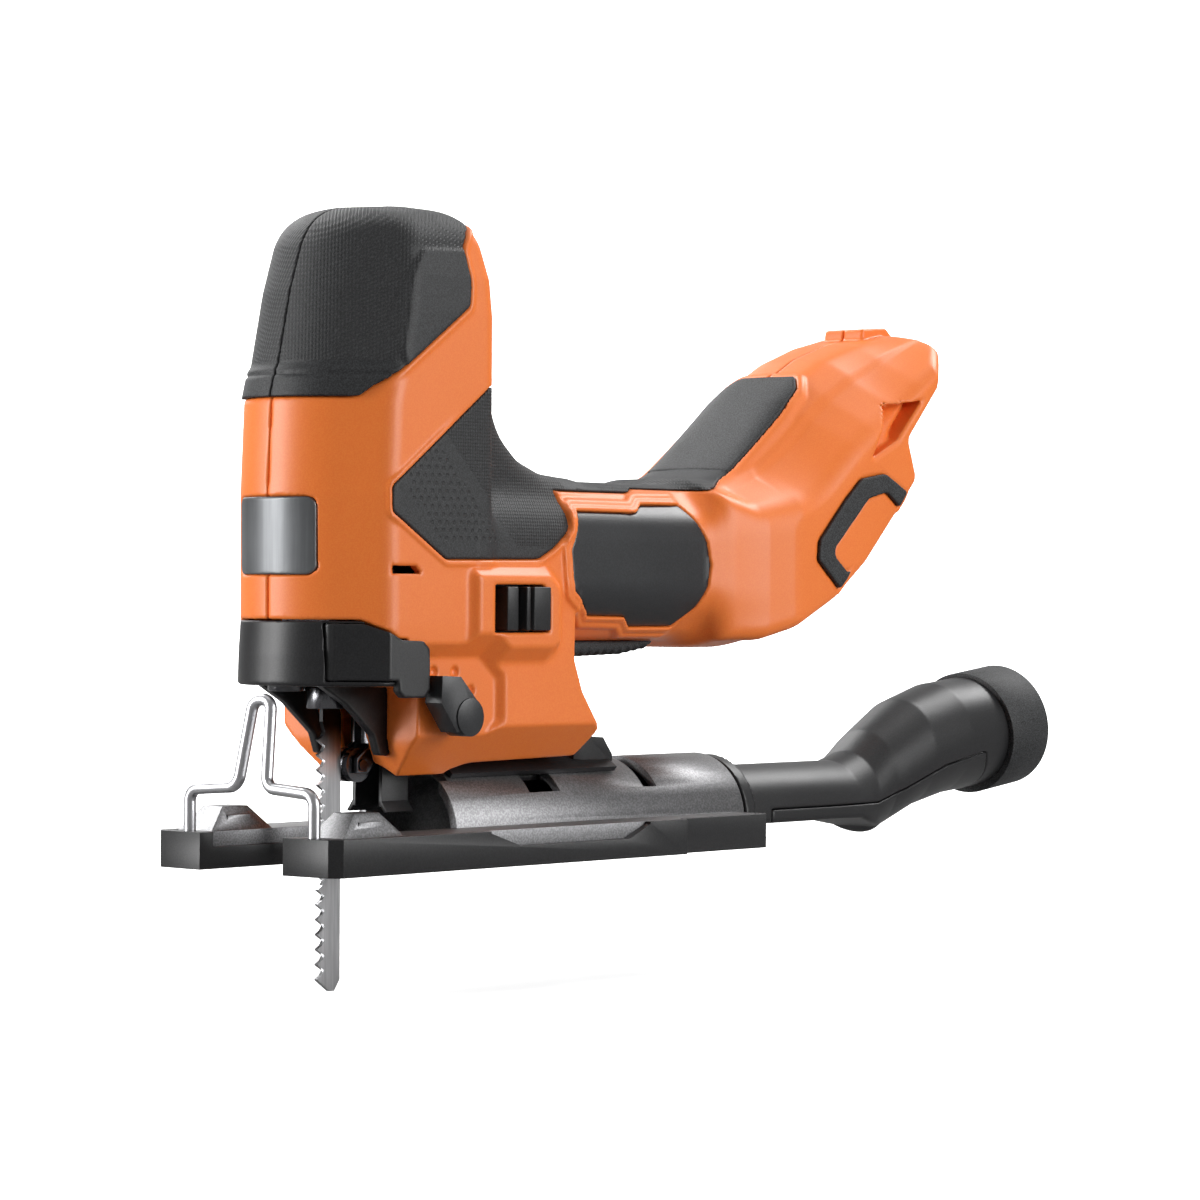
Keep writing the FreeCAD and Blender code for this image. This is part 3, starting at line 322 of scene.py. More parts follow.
def cell_quads(inside, number):
    """A quad through the four cells round each grid edge that the level crosses."""
    quads = []
    for axis in range(3):
        first = tuple(slice(0, -1) if a == axis else slice(1, -1) for a in range(3))
        second = tuple(slice(1, None) if a == axis else slice(1, -1) for a in range(3))
        start, end = inside[first], inside[second]
        edge = np.argwhere(start != end)
        flip = start[tuple(edge.T)]
        base = edge + np.array([0 if a == axis else 1 for a in range(3)])
        p, q = [a for a in range(3) if a != axis]
        around = []
        for dp, dq in ((-1, -1), (0, -1), (0, 0), (-1, 0)):
            cell = base.copy()
            cell[:, p] += dp
            cell[:, q] += dq
            around.append(number[tuple(cell.T)])
        quad = np.stack(around, 1)
        turned = flip if axis != 1 else ~flip
        quad[~turned] = quad[~turned][:, ::-1]
        quads.append(quad)
    return np.concatenate(quads)


def pulled_onto(field, points, step):
    """The points after one Newton step towards the field's zero level."""
    eps = 0.04
    x, y, z = points.T
    value = field(x, y, z)
    slope = np.stack([field(x + eps, y, z) - value, field(x, y + eps, z) - value,
                      field(x, y, z + eps) - value], 1) / eps
    move = -value[:, None] * slope / np.maximum((slope ** 2).sum(1), 0.05)[:, None]
    reach = np.linalg.norm(move, axis=1)
    return points + move * np.minimum(1.0, 0.45 * step / np.maximum(reach, 1e-9))[:, None]


def surface_points(field, low, high, step):
    """Closed quads round the field's zero level, by surface nets on a grid of the given step."""
    axes = [np.arange(a - 2 * step, b + 3 * step, step) for a, b in zip(low, high)]
    grid = field(axes[0][:, None, None], axes[1][None, :, None], axes[2][None, None, :])
    grid = np.broadcast_to(grid, [len(a) for a in axes])
    values = np.ascontiguousarray(grid).astype(np.float32)
    for axis in range(3):
        for end in (0, -1):
            values[tuple(end if a == axis else slice(None) for a in range(3))] = 1.0
    inside = values < 0
    size = [len(a) - 1 for a in axes]
    count = np.zeros(size, np.int8)
    for i, j, k in CORNERS:
        count += inside[i:i + size[0], j:j + size[1], k:k + size[2]]
    mixed = (count > 0) & (count < 8)
    cells = np.argwhere(mixed)
    number = np.full(size, -1, np.int64)
    number[mixed] = np.arange(len(cells))
    points = np.array([a[0] for a in axes]) + (cells + cell_middles(values, cells)) * step
    return pulled_onto(field, points, step), cell_quads(inside, number)


def quad_mesh(name, points, faces):
    mesh = bpy.data.meshes.new(name)
    mesh.vertices.add(len(points))
    mesh.vertices.foreach_set("co", (np.asarray(points) * MM).astype(np.float32).ravel())
    mesh.loops.add(len(faces) * 4)
    mesh.loops.foreach_set("vertex_index", np.asarray(faces, np.int32).ravel())
    mesh.polygons.add(len(faces))
    mesh.polygons.foreach_set("loop_start", np.arange(0, len(faces) * 4, 4, dtype=np.int32))
    mesh.update(calc_edges=True)
    mesh.validate()
    return mesh


def stand_in(name, node, mesh, finish):
    """A smooth piece that stands for the CAD node and rides on that node's body."""
    mesh.polygons.foreach_set("use_smooth", [True] * len(mesh.polygons))
    mesh.materials.clear()
    mesh.materials.append(finish)
    made = bpy.data.objects.new(name, mesh)
    bpy.context.scene.collection.objects.link(made)
    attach(made, BODY_OF[node])
    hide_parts(node)
    return made


# ---- outer form of the housing ------------------------------------------------------------
FRONT_LINE = ((49.4, -24.6), (57.7, -24.3), (67.0, -23.6), (100.5, -23.9), (125.0, -22.7),
              (131.7, -20.9), (155.5, -15.7), (168.0, -11.6), (174.0, -8.6), (182.0, -4.0))
REAR_LINE = ((90.0, 45.5), (150.0, 45.5), (160.0, 44.5), (169.0, 41.5), (176.0, 37.5),
             (182.0, 32.0))
HALF_LINE = ((49.4, 27.6), (66.0, 28.5), (150.0, 28.5), (160.0, 27.8), (170.0, 25.6), (176.0, 23.5),
             (182.0, 20.0))
TOP_LINE = ((-16.0, 170.5), (-9.0, 175.5), (3.0, 178.9), (19.0, 180.4), (33.0, 180.2),
            (46.0, 175.0))
NOSE_TOP = 67.0
CAP_BAND = 132.8
WALL = 2.9
SKIN = 1.5
EDGE_GAP = 0.22                   # between a cover's edge and the shell
TUNNEL_Z = 8.0                    # axis of the shoe's tunnel and of the dust tube
TUNNEL_SEAT = 20.9
THROAT = 5.6                      # half of the slot for the guide fork
CLAMP_ROOM = 8.6                  # radius of the open space round the blade clamp
WING_Y = 11.3                     # middle of each wing of the nose band
SEAT_R = 3.2
SEAT_Y = 19.2
BOSS_R = 4.2


def along(line, value):
    places, levels = zip(*line)
    return np.interp(value, places, levels)


def head_field(x, y, z):
    ay = np.abs(y)
    front = along(FRONT_LINE, z)
    rear = along(REAR_LINE, z)
    flank = (ay - x + front - 10.4) / math.sqrt(2.0)
    d = smooth_max(front - x, flank, 7.0)
    corner = (17.1 * (x - rear + 11.0) + 11.0 * (ay - 28.5)) / 20.3
    d = np.maximum(d, smooth_max(x - rear, corner, 5.0))
    d = smooth_max(d, ay - along(HALF_LINE, z), 2.6)
    top = along(TOP_LINE, x) - 5.0 * (ay / 26.0) ** 2
    d = smooth_max(d, z - top, 6.0)
    return smooth_max(d, 49.5 - z, 1.2)


LOWER = outline([(2.0, 76.0), (2.0, 50.0), (5.2, 43.0), (11.0, 29.0), (14.5, 20.6), (27.5, 20.4),
                 (34.0, 25.8), (40.0, 27.4), (84.0, 28.3), (88.5, 36.0), (80.5, 47.0), (77.0, 56.0),
                 (77.5, 76.0)], 0.8)


def lower_field(x, y, z):
    """The body beside the guide fork: its front and rear bulge, and 45 degree planes clear the shoe."""
    ay = np.abs(y)
    pulled = LOWER(x + 5.5 * (ay / 26.0) ** 2, z)
    d = smooth_max(smooth_max(LOWER(x, z), pulled, 1.0), ay - 26.6, 1.2)
    shoulder = np.maximum(x - 9.2, 10.0 - ay)
    d = smooth_max(d, -np.maximum(shoulder, z - 50.0), 0.8)
    return smooth_max(d, (ay + 11.4 - z) / math.sqrt(2.0), 0.5)


def barrel_field(x, y, z):
    ay, up = np.abs(y), np.abs(z - 83.75)
    d = smooth_max(ay - 27.5, up - 22.75, 2.0)
    d = smooth_max(d, (ay + up - 27.5 - 10.75) / math.sqrt(2.0), 4.0)
    return np.maximum(d, np.maximum(30.0 - x, x - 152.0))


NECK = outline([(30.0, 146.0), (45.5, 134.0), (47.5, 126.0), (52.0, 118.5), (59.0, 112.5),
                (70.0, 108.5), (86.0, 106.5), (86.0, 80.0), (30.0, 80.0)], 2.5)


def neck_field(x, y, z):
    return smooth_max(NECK(x, z), np.abs(y) - 19.0, 9.0)


FOOT = outline([(135.0, 106.5), (145.0, 106.5), (158.6, 116.3), (180.0, 133.7), (190.0, 140.5),
                (203.0, 147.5), (219.0, 152.8), (238.0, 156.6), (243.0, 155.0), (243.0, 149.0),
                (217.8, 122.0), (222.2, 110.0), (215.5, 103.0), (196.0, 83.8), (181.0, 73.0),
                (162.0, 64.3), (149.0, 61.0), (135.0, 61.0)], 1.6)
FOOT_HALF = ((120.0, 26.0), (134.0, 28.0), (150.0, 33.5), (164.0, 36.0), (231.0, 36.0),
             (240.0, 30.0), (246.0, 18.0))


FOOT_TOP = outline([(100.0, 106.5), (145.0, 106.5), (158.6, 116.3), (180.0, 133.7), (190.0, 140.5),
                    (203.0, 147.5), (219.0, 152.8), (238.0, 156.6), (250.0, 158.0), (250.0, 0.0),
                    (100.0, 0.0)], 1.6)
PLINTH = outline([(140.0, -15.8), (178.0, -15.8), (187.0, -14.5), (191.5, -10.5), (191.5, 10.5),
                  (187.0, 14.5), (178.0, 15.8), (140.0, 15.8)], 1.0)


REAR_BLOCK = outline([(226.0, 140.0), (229.5, 157.6), (241.5, 158.6), (245.5, 155.6),
                      (245.5, 140.0)], 0.6)


def foot_field(x, y, z):
    ay = np.abs(y)
    drop = 0.375 * (ay - 12.0 + np.sqrt((ay - 12.0) ** 2 + 16.0)) + 1.1 * ramp(ay, 19.4, 22.0)
    drop = drop * (0.2 + 0.8 * ramp(x, 128.0, 180.0)) * (1.0 - 0.65 * ramp(x, 206.0, 246.0))
    plinth = 1.8 * (1.0 - ramp(PLINTH(x, y), 1.4, 3.6)) * ramp(x, 148.0, 160.0)
    d = smooth_max(FOOT(x, z), (FOOT_TOP(x, z) + drop - plinth) / 1.25, 2.0)
    d = smooth_max(d, ay - along(FOOT_HALF, x), 5.0)
    return smooth_min(d, smooth_max(REAR_BLOCK(x, z), ay - 7.5, 0.8), 0.6)


def housing_form(x, y, z):
    """The outer form of the whole housing, without openings or relief."""
    d = smooth_min(head_field(x, y, z), neck_field(x, y, z), 6.0)
    d = smooth_min(d, smooth_min(barrel_field(x, y, z), lower_field(x, y, z), 2.5), 2.5)
    return smooth_min(d, foot_field(x, y, z), 9.0)


# ---- regions of the covers, in side view --------------------------------------------------
CAP = outline([(-60.0, 126.5), (-11.5, 126.5), (-9.0, 129.0), (24.4, 152.1), (25.4, 158.0),
               (24.2, 168.0), (27.5, 172.5), (44.0, 185.0), (44.0, 200.0), (-60.0, 200.0)], 1.0)
SIDE_GRIP = outline([(-5.1, 103.1), (33.5, 131.0), (60.0, 131.0), (60.0, 118.0), (70.5, 113.0),
                     (70.0, 104.0), (67.9, 92.3), (61.0, 87.0), (54.5, 83.8), (15.8, 83.4),
                     (-5.0, 96.0)], 1.2)
TOP_STRIP = outline([(64.0, 103.2), (103.0, 103.2), (107.0, 104.6), (134.0, 104.6), (140.0, 105.4),
                     (153.0, 106.0), (153.0, 130.0), (64.0, 130.0)], 0.6)
PAD_FLOOR = outline([(140.0, 98.0), (140.0, 125.0), (176.0, 152.0), (200.0, 160.0), (200.0, 130.0),
                     (165.0, 100.0)], 1.0)
LABEL = outline([(73.4, 97.7), (99.6, 97.6), (104.0, 100.0), (122.1, 100.3), (125.8, 95.5),
                 (128.6, 89.5), (129.9, 83.0), (129.0, 76.5), (126.4, 70.5), (121.5, 65.0),
                 (102.1, 65.0), (96.8, 67.9), (80.2, 68.2), (69.3, 75.5), (68.0, 86.7)], 0.4)
BUMPER = outline([(171.0, 90.8), (183.3, 102.9), (191.6, 109.7), (203.2, 111.5), (215.0, 106.0),
                  (211.0, 101.0), (204.0, 105.5), (195.0, 103.5), (178.5, 88.5), (178.5, 86.0),
                  (184.5, 81.5), (189.9, 84.5), (181.1, 76.0), (170.2, 84.8)], 0.8)
LATCH = outline([(210.8, 121.8), (223.5, 134.5), (208.1, 132.3), (198.1, 115.9)], 0.5)
LATCH_DEPTH = 4.6
NOSE = outline([(-60.0, 30.0), (-60.0, NOSE_TOP), (-10.8, NOSE_TOP), (-2.0, 62.0), (1.0, 62.0),
                (1.0, 30.0)], 0.4)
WING = outline([(-19.0, 51.5), (-6.0, 44.5), (4.5, 36.0), (6.6, 30.5), (10.0, 30.2), (14.0, 35.5),
                (14.0, 51.0), (1.0, 51.5)], 0.4)
BEZEL = outline([(27.0, 62.0), (27.0, 79.0), (56.0, 79.0), (60.0, 75.5), (60.0, 61.5), (57.0, 59.8),
                 (30.0, 59.8)], 0.5)
WINDOW = outline([(33.0, 63.7), (33.0, 76.9), (52.8, 76.9), (55.6, 74.0), (55.6, 63.7)], 0.3)
ORBIT_PANEL = outline([(2.0, 34.5), (2.0, 57.0), (33.0, 57.0), (40.0, 51.0), (40.0, 40.0),
                       (34.0, 34.5)], 0.8)
VENT = outline([(-4.5, 79.6), (-4.5, 81.8), (4.0, 81.8), (6.5, 79.6)], 0.1)
SETTING_MARKS = ((15.5, 53.2), (23.9, 53.1), (30.4, 47.9))
SCREWS = ((40.5, 152.0), (62.0, 43.0), (135.0, 97.0), (135.0, 71.0), (160.0, 78.0), (192.0, 130.0),
          (224.0, 146.0))
DOCK_TILT = math.radians(47.0)
DOCK_FLOOR = 74.0


def grip_region(x, y, z):
    """The soft grip: a window on each side of the neck, joined over the top, and the barrel's strip."""
    strip = np.maximum(TOP_STRIP(x, z), np.abs(y) - 24.0 + 8.2 * ramp(x, 132.0, 150.0))
    return np.minimum(SIDE_GRIP(x, z), strip)


def pad_region(x, y, z):
    return np.maximum(np.maximum(PLINTH(x, y), 152.0 - x), PAD_FLOOR(x, z))


def badge_region(x, y, z):
    r = 3.0
    u, v = np.abs(y) - 14.2 + r, np.abs(z - 89.6) - 10.6 + r
    plate = np.hypot(np.maximum(u, 0), np.maximum(v, 0)) + np.minimum(np.maximum(u, v), 0) - r
    return np.maximum(plate, x + 5.0)


def label_region(x, y, z):
    return np.maximum(LABEL(x, z), 17.0 - np.abs(y))


def bumper_region(x, y, z):
    return np.maximum(BUMPER(x, z), 20.0 - np.abs(y))


def bead(region, inner, outer, height):
    """A raised line beside a region's border, from inner to outer millimetres away from it."""
    slope = 0.4
    rise = ramp(region, inner - slope, inner + slope)
    return height * rise * (1.0 - ramp(region, outer - slope, outer + slope))


def relief_form(x, y, z):
    """The housing's outer surface with its raised lines: where a cover ends, a bead frames it."""
    d = housing_form(x, y, z)
    side = ramp(np.abs(y), 12.0, 18.0)
    d = d - bead(CAP(x, z), 0.3, 1.7, 0.55) * ramp(x, -12.0, 4.0)
    d = d - bead(SIDE_GRIP(x, z), 0.3, 1.6, 0.6) * side * (1.0 - ramp(z, 116.0, 124.0))
    frame_line = bead(LABEL(x, z), 0.2, 3.6, 0.9) - 0.5 * bead(LABEL(x, z), 1.6, 2.3, 0.6)
    d = d - frame_line * side * (1.0 - ramp(x, 119.0, 124.0))
    return d - bead(BUMPER(x, z), 0.2, 1.4, 0.4) * ramp(np.abs(y), 20.0, 24.0)


def dock_axes(x, z):
    c, s = math.cos(DOCK_TILT), math.sin(DOCK_TILT)
    return c * x + s * z, s * x - c * z


def dock_openings(x, y, z):
    """Room for the battery: negative where its block and its terminal post go."""
    ay = np.abs(y)
    run, out = dock_axes(x, z)
    room = np.maximum(np.maximum(DOCK_FLOOR - out, ay - 29.5), np.maximum(150.0 - run, run - 268.0))
    post = np.maximum(np.maximum(60.0 - out, ay - 15.2), np.maximum(197.0 - run, run - 237.0))
    rail_ends = np.maximum(176.0 - run, run - 262.0)
    rail = np.maximum(np.maximum(79.0 - out, out - 82.0), np.maximum(26.0 - ay, rail_ends))
    return np.maximum(np.minimum(room, post), -rail)


def covers_depth(x, y, z):
    """How far the shell lies under the outer surface, because a cover fills the difference."""
    lowest = np.minimum(CAP(x, z), grip_region(x, y, z))
    lowest = np.minimum(lowest, np.minimum(pad_region(x, y, z), label_region(x, y, z)))
    lowest = np.minimum(lowest, np.minimum(bumper_region(x, y, z), badge_region(x, y, z)))
    return SKIN * (1.0 - ramp(lowest, -0.5, 0.3))


def orbit_recess(x, away, z):
    """The panel round the orbital lever, sunk into the left flank with sloping walls."""
    floor = 24.4
    return np.maximum((ORBIT_PANEL(x, z) + floor - away) / 1.3, floor - away)


def left_details(d, x, y, z):
    """The left half's raised switch bezel, sunk lever panel and pits of the four settings."""
    away, bezel_top = -y, 31.0
    block = smooth_max((BEZEL(x, z) + away - bezel_top) / math.sqrt(2.0), away - bezel_top, 0.5)
    d = smooth_min(d, np.maximum(block, 20.0 - away), 0.8)
    d = smooth_max(d, -orbit_recess(x, away, z), 0.5)
    for mark_x, mark_z in SETTING_MARKS:
        pit = np.sqrt((x - mark_x) ** 2 + (z - mark_z) ** 2 + (y + 24.9) ** 2) - 1.7
        d = smooth_max(d, -pit, 0.2)
    return d


def screw_seats(x, y, z):
    """The deep holes in the right half in which the screw heads sit."""
    return [np.maximum(np.hypot(x - screw_x, z - screw_z) - SEAT_R, SEAT_Y - np.abs(y))
            for screw_x, screw_z in SCREWS]


def nose_openings(x, y, z):
    """Room in the shell for the guide fork, the wings, the blade clamp and the nose band."""
    ay = np.abs(y)
    throat = np.maximum(np.maximum(ay - THROAT, x - 27.0), np.maximum(-9.0 - x, z - 70.0))
    wings = np.maximum(WING(x, z) - 0.3, np.abs(ay - WING_Y) - 1.6)
    clamp = np.maximum(np.hypot(x, y) - CLAMP_ROOM, z - 62.0)
    return np.minimum(np.minimum(throat, wings), np.minimum(clamp, NOSE(x, z) - 0.25))


def shell_field(side):
    """One half of the clamshell. side is -1 for the left half and 1 for the right half."""
    def field(x, y, z):
        ay = np.abs(y)
        outer = housing_form(x, y, z)
        d = relief_form(x, y, z) + covers_depth(x, y, z)
        pocket = np.maximum(LATCH(x, z), -(outer + LATCH_DEPTH))
        dock_wall = dock_axes(x, z)[1] - DOCK_FLOOR + 2.4
        inner = np.maximum(np.maximum(outer + WALL, dock_wall), 1.7 - pocket)
        if side < 0:
            d = left_details(d, x, y, z)
            inner = np.maximum(inner, 1.8 - orbit_recess(x, -y, z))
            d = smooth_max(d, -inner, 0.2)
            d = smooth_max(d, -np.maximum(WINDOW(x, z), 22.0 - ay), 0.4)
        else:
            seats = screw_seats(x, y, z)
            for seat in seats:
                d = smooth_max(d, -seat, 0.4)
            d = smooth_max(d, -inner, 0.2)
            for (screw_x, screw_z), seat in zip(SCREWS, seats):
                boss = np.maximum(np.hypot(x - screw_x, z - screw_z) - BOSS_R, outer + 1.0)
                d = np.minimum(d, np.maximum(boss, -seat))
        d = np.maximum(d, -np.maximum(VENT(x, z), 20.0 - ay))
        d = smooth_max(d, -pocket, 0.3)
        d = np.maximum(d, -dock_openings(x, y, z))
        d = smooth_max(d, TUNNEL_SEAT - np.hypot(y, z - TUNNEL_Z), 0.6)
        d = np.maximum(d, -nose_openings(x, y, z))
        return smooth_max(d, 0.12 - side * y, 0.35)
    return field


def cover_field(region, proud=0.0):
    """A skin that fills a region of the outer surface and stands proud of it."""
    def field(x, y, z):
        d = housing_form(x, y, z) - proud
        skin = smooth_max(d, -(d + SKIN), 0.2)
        return smooth_max(skin, region(x, y, z) + EDGE_GAP, 0.35)
    return field


SIDE_FACET = outline([(1.0, 131.0), (30.0, 150.0), (30.0, 168.0), (8.0, 167.0), (2.0, 160.0),
                      (-2.0, 140.0)], 1.5)


def cap_field(x, y, z):
    """The head's soft cap with a groove above its lower band, raised facets and a seam."""
    d = housing_form(x, y, z)
    front = 1.0 - ramp(x + np.abs(y) * 0.2, 2.0, 12.0)
    lift = 0.9 * (1.0 - ramp(z, CAP_BAND, CAP_BAND + 3.2)) * front + 0.15
    groove = 0.5 * np.exp(-((z - CAP_BAND) / 0.55) ** 2) * front
    plateau = 0.7 * (1.0 - ramp(SIDE_FACET(x, z), -0.8, 0.8)) * ramp(np.abs(y), 20.0, 24.0)
    d = d - lift + groove - plateau
    skin = smooth_max(d, -(d + SKIN + 0.6), 0.2)
    skin = smooth_max(skin, CAP(x, z) + EDGE_GAP, 0.35)
    return smooth_max(skin, 0.1 - np.abs(y), 0.35)


LEVER_SIDE = outline([(-20.0, 51.0), (-20.0, 66.2), (-10.8, 66.2), (-1.6, 61.9), (6.2, 61.6),
                      (8.4, 59.6), (8.6, 48.6), (6.8, 46.4), (-0.8, 46.4), (-2.6, 48.0),
                      (-3.0, 51.0)], 0.3)
LEVER_PLAN = outline([(-16.8, -17.7), (-6.2, -28.7), (10.2, -29.8), (10.2, -26.9), (-5.0, -26.2),
                      (-13.6, -17.4)], 0.3)
LEVER_X, LEVER_Y = -15.0, -15.8
LAMP_X = -16.3


def nose_field(x, y, z):
    """The black band round the nose with its two wings beside the guide fork."""
    ay = np.abs(y)
    form = smooth_max(head_field(x, y, z), NOSE(x, z) + 0.1, 0.5)
    d = smooth_max(form, -(housing_form(x, y, z) + WALL), 0.2)
    d = np.minimum(d, smooth_max(WING(x, z), np.abs(ay - WING_Y) - 1.3, 0.4))
    d = smooth_max(d, CLAMP_ROOM - np.hypot(x, y), 0.5)
    throat = np.maximum(np.maximum(ay - THROAT, x - 30.0), np.maximum(-x, z - 60.0))
    lamp = np.maximum(np.hypot(x - LAMP_X, y) - 5.1, z - 60.0)
    d = np.maximum(d, -np.minimum(throat, lamp))
    return smooth_max(d, -lever_room(x, y, z), 0.12)


def lever_field(x, y, z):
    """Blade release lever: a wing along the nose's flank that ends in a finger tab."""
    from_pin = np.hypot(x - LEVER_X, y - LEVER_Y)
    d = smooth_max(LEVER_PLAN(x, y), LEVER_SIDE(x, z), 0.5)
    hub = np.maximum(from_pin - 2.6, np.maximum(51.0 - z, z - 66.2))
    return np.maximum(smooth_min(d, hub, 0.6), 1.3 - from_pin)


def lever_room(x, y, z):
    """The hollow in the nose's left flank that the blade release lever lies in."""
    hub = np.hypot(x - LEVER_X, y - LEVER_Y) - 3.1
    return np.maximum(np.minimum(LEVER_PLAN(x, y) - 0.3, hub), np.maximum(50.7 - z, z - 66.4))


# ---- dust tube ----------------------------------------------------------------------------
TUBE_LINE = ((84.0, 8.0, 14.8), (222.0, 8.0, 14.8), (231.0, 10.8, 14.3), (240.0, 16.2, 14.4),
             (258.0, 24.2, 16.3), (276.0, 28.4, 17.4), (300.5, 30.6, 17.9))
TUBE_SLOPE = ((222.0, 0.0), (240.0, 0.42), (262.0, 0.30), (285.0, 0.12), (300.0, 0.12))
TUBE_FLOOR = ((222.0, 5.4), (236.0, 2.0), (262.0, -30.0))
TUBE_COVER = outline([(176.0, -20.0), (176.0, 9.6), (212.0, 9.6), (230.0, 9.8), (245.0, 13.8),
                      (264.0, 20.5), (284.0, 24.4), (289.0, 16.0), (289.0, -20.0)], 0.5)


def tube_form(x, y, z):
    places, heights, radii = zip(*TUBE_LINE)
    centre, radius = np.interp(x, places, heights), np.interp(x, places, radii)
    slope = along(TUBE_SLOPE, x)
    d = np.hypot(y, (z - centre) / np.sqrt(1.0 + slope ** 2)) - radius
    floor = along(TUBE_FLOOR, x)
    return smooth_max(d, floor - z, 1.5)


def tube_solid(x, y, z):
    d = tube_form(x, y, z)
    return np.maximum(smooth_max(d, -(d + 1.8), 0.2), np.maximum(84.0 - x, x - 299.5))


def tube_field(x, y, z):
    """The tube without its cover, with the seal ring that slides in the tunnel."""
    d = smooth_max(tube_solid(x, y, z), -(TUBE_COVER(x, z) - 0.15), 0.4)
    seal = np.maximum(np.hypot(y, z - TUNNEL_Z) - 18.3, np.abs(x - 161.5) - 2.4)
    seal = smooth_max(seal, 5.4 - z, 0.5)
    seal = np.maximum(seal, -(tube_form(x, y, z) + 1.0))
    return np.minimum(d, seal)


def tube_cover_field(x, y, z):
    d = tube_solid(x, y, z) - 0.25 * ramp(x, 205.0, 230.0)
    return smooth_max(d, TUBE_COVER(x, z) + 0.15, 0.4)


# ---- finger pad ---------------------------------------------------------------------------
FINGER_SIDE = outline([(83.5, 62.5), (83.5, 57.8), (88.0, 56.4), (110.0, 57.0), (122.0, 58.8),
                       (126.0, 62.5)], 0.8)


def finger_pad_field(x, y, z):
    ay = np.abs(y)
    ribs = 0.45 * np.cos(2.0 * math.pi * (x - 84.0) / 3.4) * ramp(60.5 - z, 0.0, 1.5)
    d = smooth_max(FINGER_SIDE(x, z) + ribs * 0.8 + 0.3, ay - 12.0, 2.5)
    return smooth_max(d, -(barrel_field(x, y, z) - 0.15), 0.3)


# ---- finishes -----------------------------------------------------------------------------
def plus(n, a, b, share):
    """a plus share times b."""
    return n.math("ADD", a, n.math("MULTIPLY", b, share))


def cap_pattern(n):
    """Knurled over the front and the top, plain on the side facets and on the lower band."""
    x, y, z = n.xyz()
    facing = n.add("ShaderNodeNewGeometry").outputs["Normal"]
    side = n.math("ABSOLUTE", n.add("ShaderNodeSeparateXYZ", Vector=facing).outputs[1])
    above = n.step(z, 136.0, 136.8)
    before = n.step(n.math("MULTIPLY", side, -1.0), -0.93, -0.86)
    near_top = n.step(z, 166.0, 168.5)
    region = n.math("MULTIPLY", above, n.math("MAXIMUM", before, near_top))
    across = plus(n, n.math("MULTIPLY", n.math("ABSOLUTE", y), 0.85), x, 0.75)
    return knurl(n, 1.5, across, plus(n, z, x, -0.55), region)


def pit_rows(n, x, z):
    """1 in round pits, which stand in rows that are shifted by half a pitch in turn."""
    pitch_x, pitch_z = 2.9, 2.1
    row = n.math("DIVIDE", z, pitch_z)
    shift = n.math("MULTIPLY", n.math("MODULO", n.math("FLOOR", row), 2.0), 0.5)
    column = n.math("ADD", n.math("DIVIDE", x, pitch_x), shift)
    across = n.math("MULTIPLY", n.math("SUBTRACT", n.math("FRACT", column), 0.5), pitch_x)
    up = n.math("MULTIPLY", n.math("SUBTRACT", n.math("FRACT", row), 0.5), pitch_z)
    squares = n.math("ADD", n.math("MULTIPLY", across, across), n.math("MULTIPLY", up, up))
    return n.math("SUBTRACT", 1.0, n.step(n.math("SQRT", squares), 0.45, 0.75))


def all_of(n, factors):
    """The product of the factors, which is 1 where all of them are."""
    product = factors[0]
    for factor in factors[1:]:
        product = n.math("MULTIPLY", product, factor)
    return product


def neck_pattern(n):
    """Knurling behind the slanting rib and on the barrel's strip, and round pits before the rib,
    painted dark as shade.
    """
    x, y, z = n.xyz()
    slant = n.math("ADD", x, z)
    clear_of_rib = n.math("ABSOLUTE", n.math("SUBTRACT", x, 84.0))
    knurled = all_of(n, [n.step(slant, 133.0, 133.8), n.step(z, 87.5, 88.3),
                         n.step(n.math("MULTIPLY", x, -1.0), -142.0, -141.0),
                         n.step(clear_of_rib, 8.0, 9.0)])
    relief, shadow = knurl(n, 1.35, plus(n, x, n.math("ABSOLUTE", y), 0.6), z, knurled)
    before_rib = n.math("SUBTRACT", n.step(slant, 102.0, 103.0), n.step(slant, 126.5, 127.5))
    under_edge = n.math("SUBTRACT", n.math("MULTIPLY", x, 0.85), z)
    # the pits: sunk as relief, and painted dark as shade in the colour
    pits_and_painted_shade = all_of(n, [before_rib, n.step(z, 87.5, 88.0), n.step(x, 1.0, 2.0),
                      n.step(under_edge, -107.0, -106.0), pit_rows(n, x, z)])
    return n.math("SUBTRACT", relief, pits_and_painted_shade), plus(n, shadow, pits_and_painted_shade, 0.7)


def blade_painted_shade(n):
    """Flat, with painted shade that makes the upper part of the blade nearly black under the nose."""
    return 0.0, n.step(n.xyz()[2], 27.0, 39.0)


BLACK = (0.017, 0.018, 0.0195)


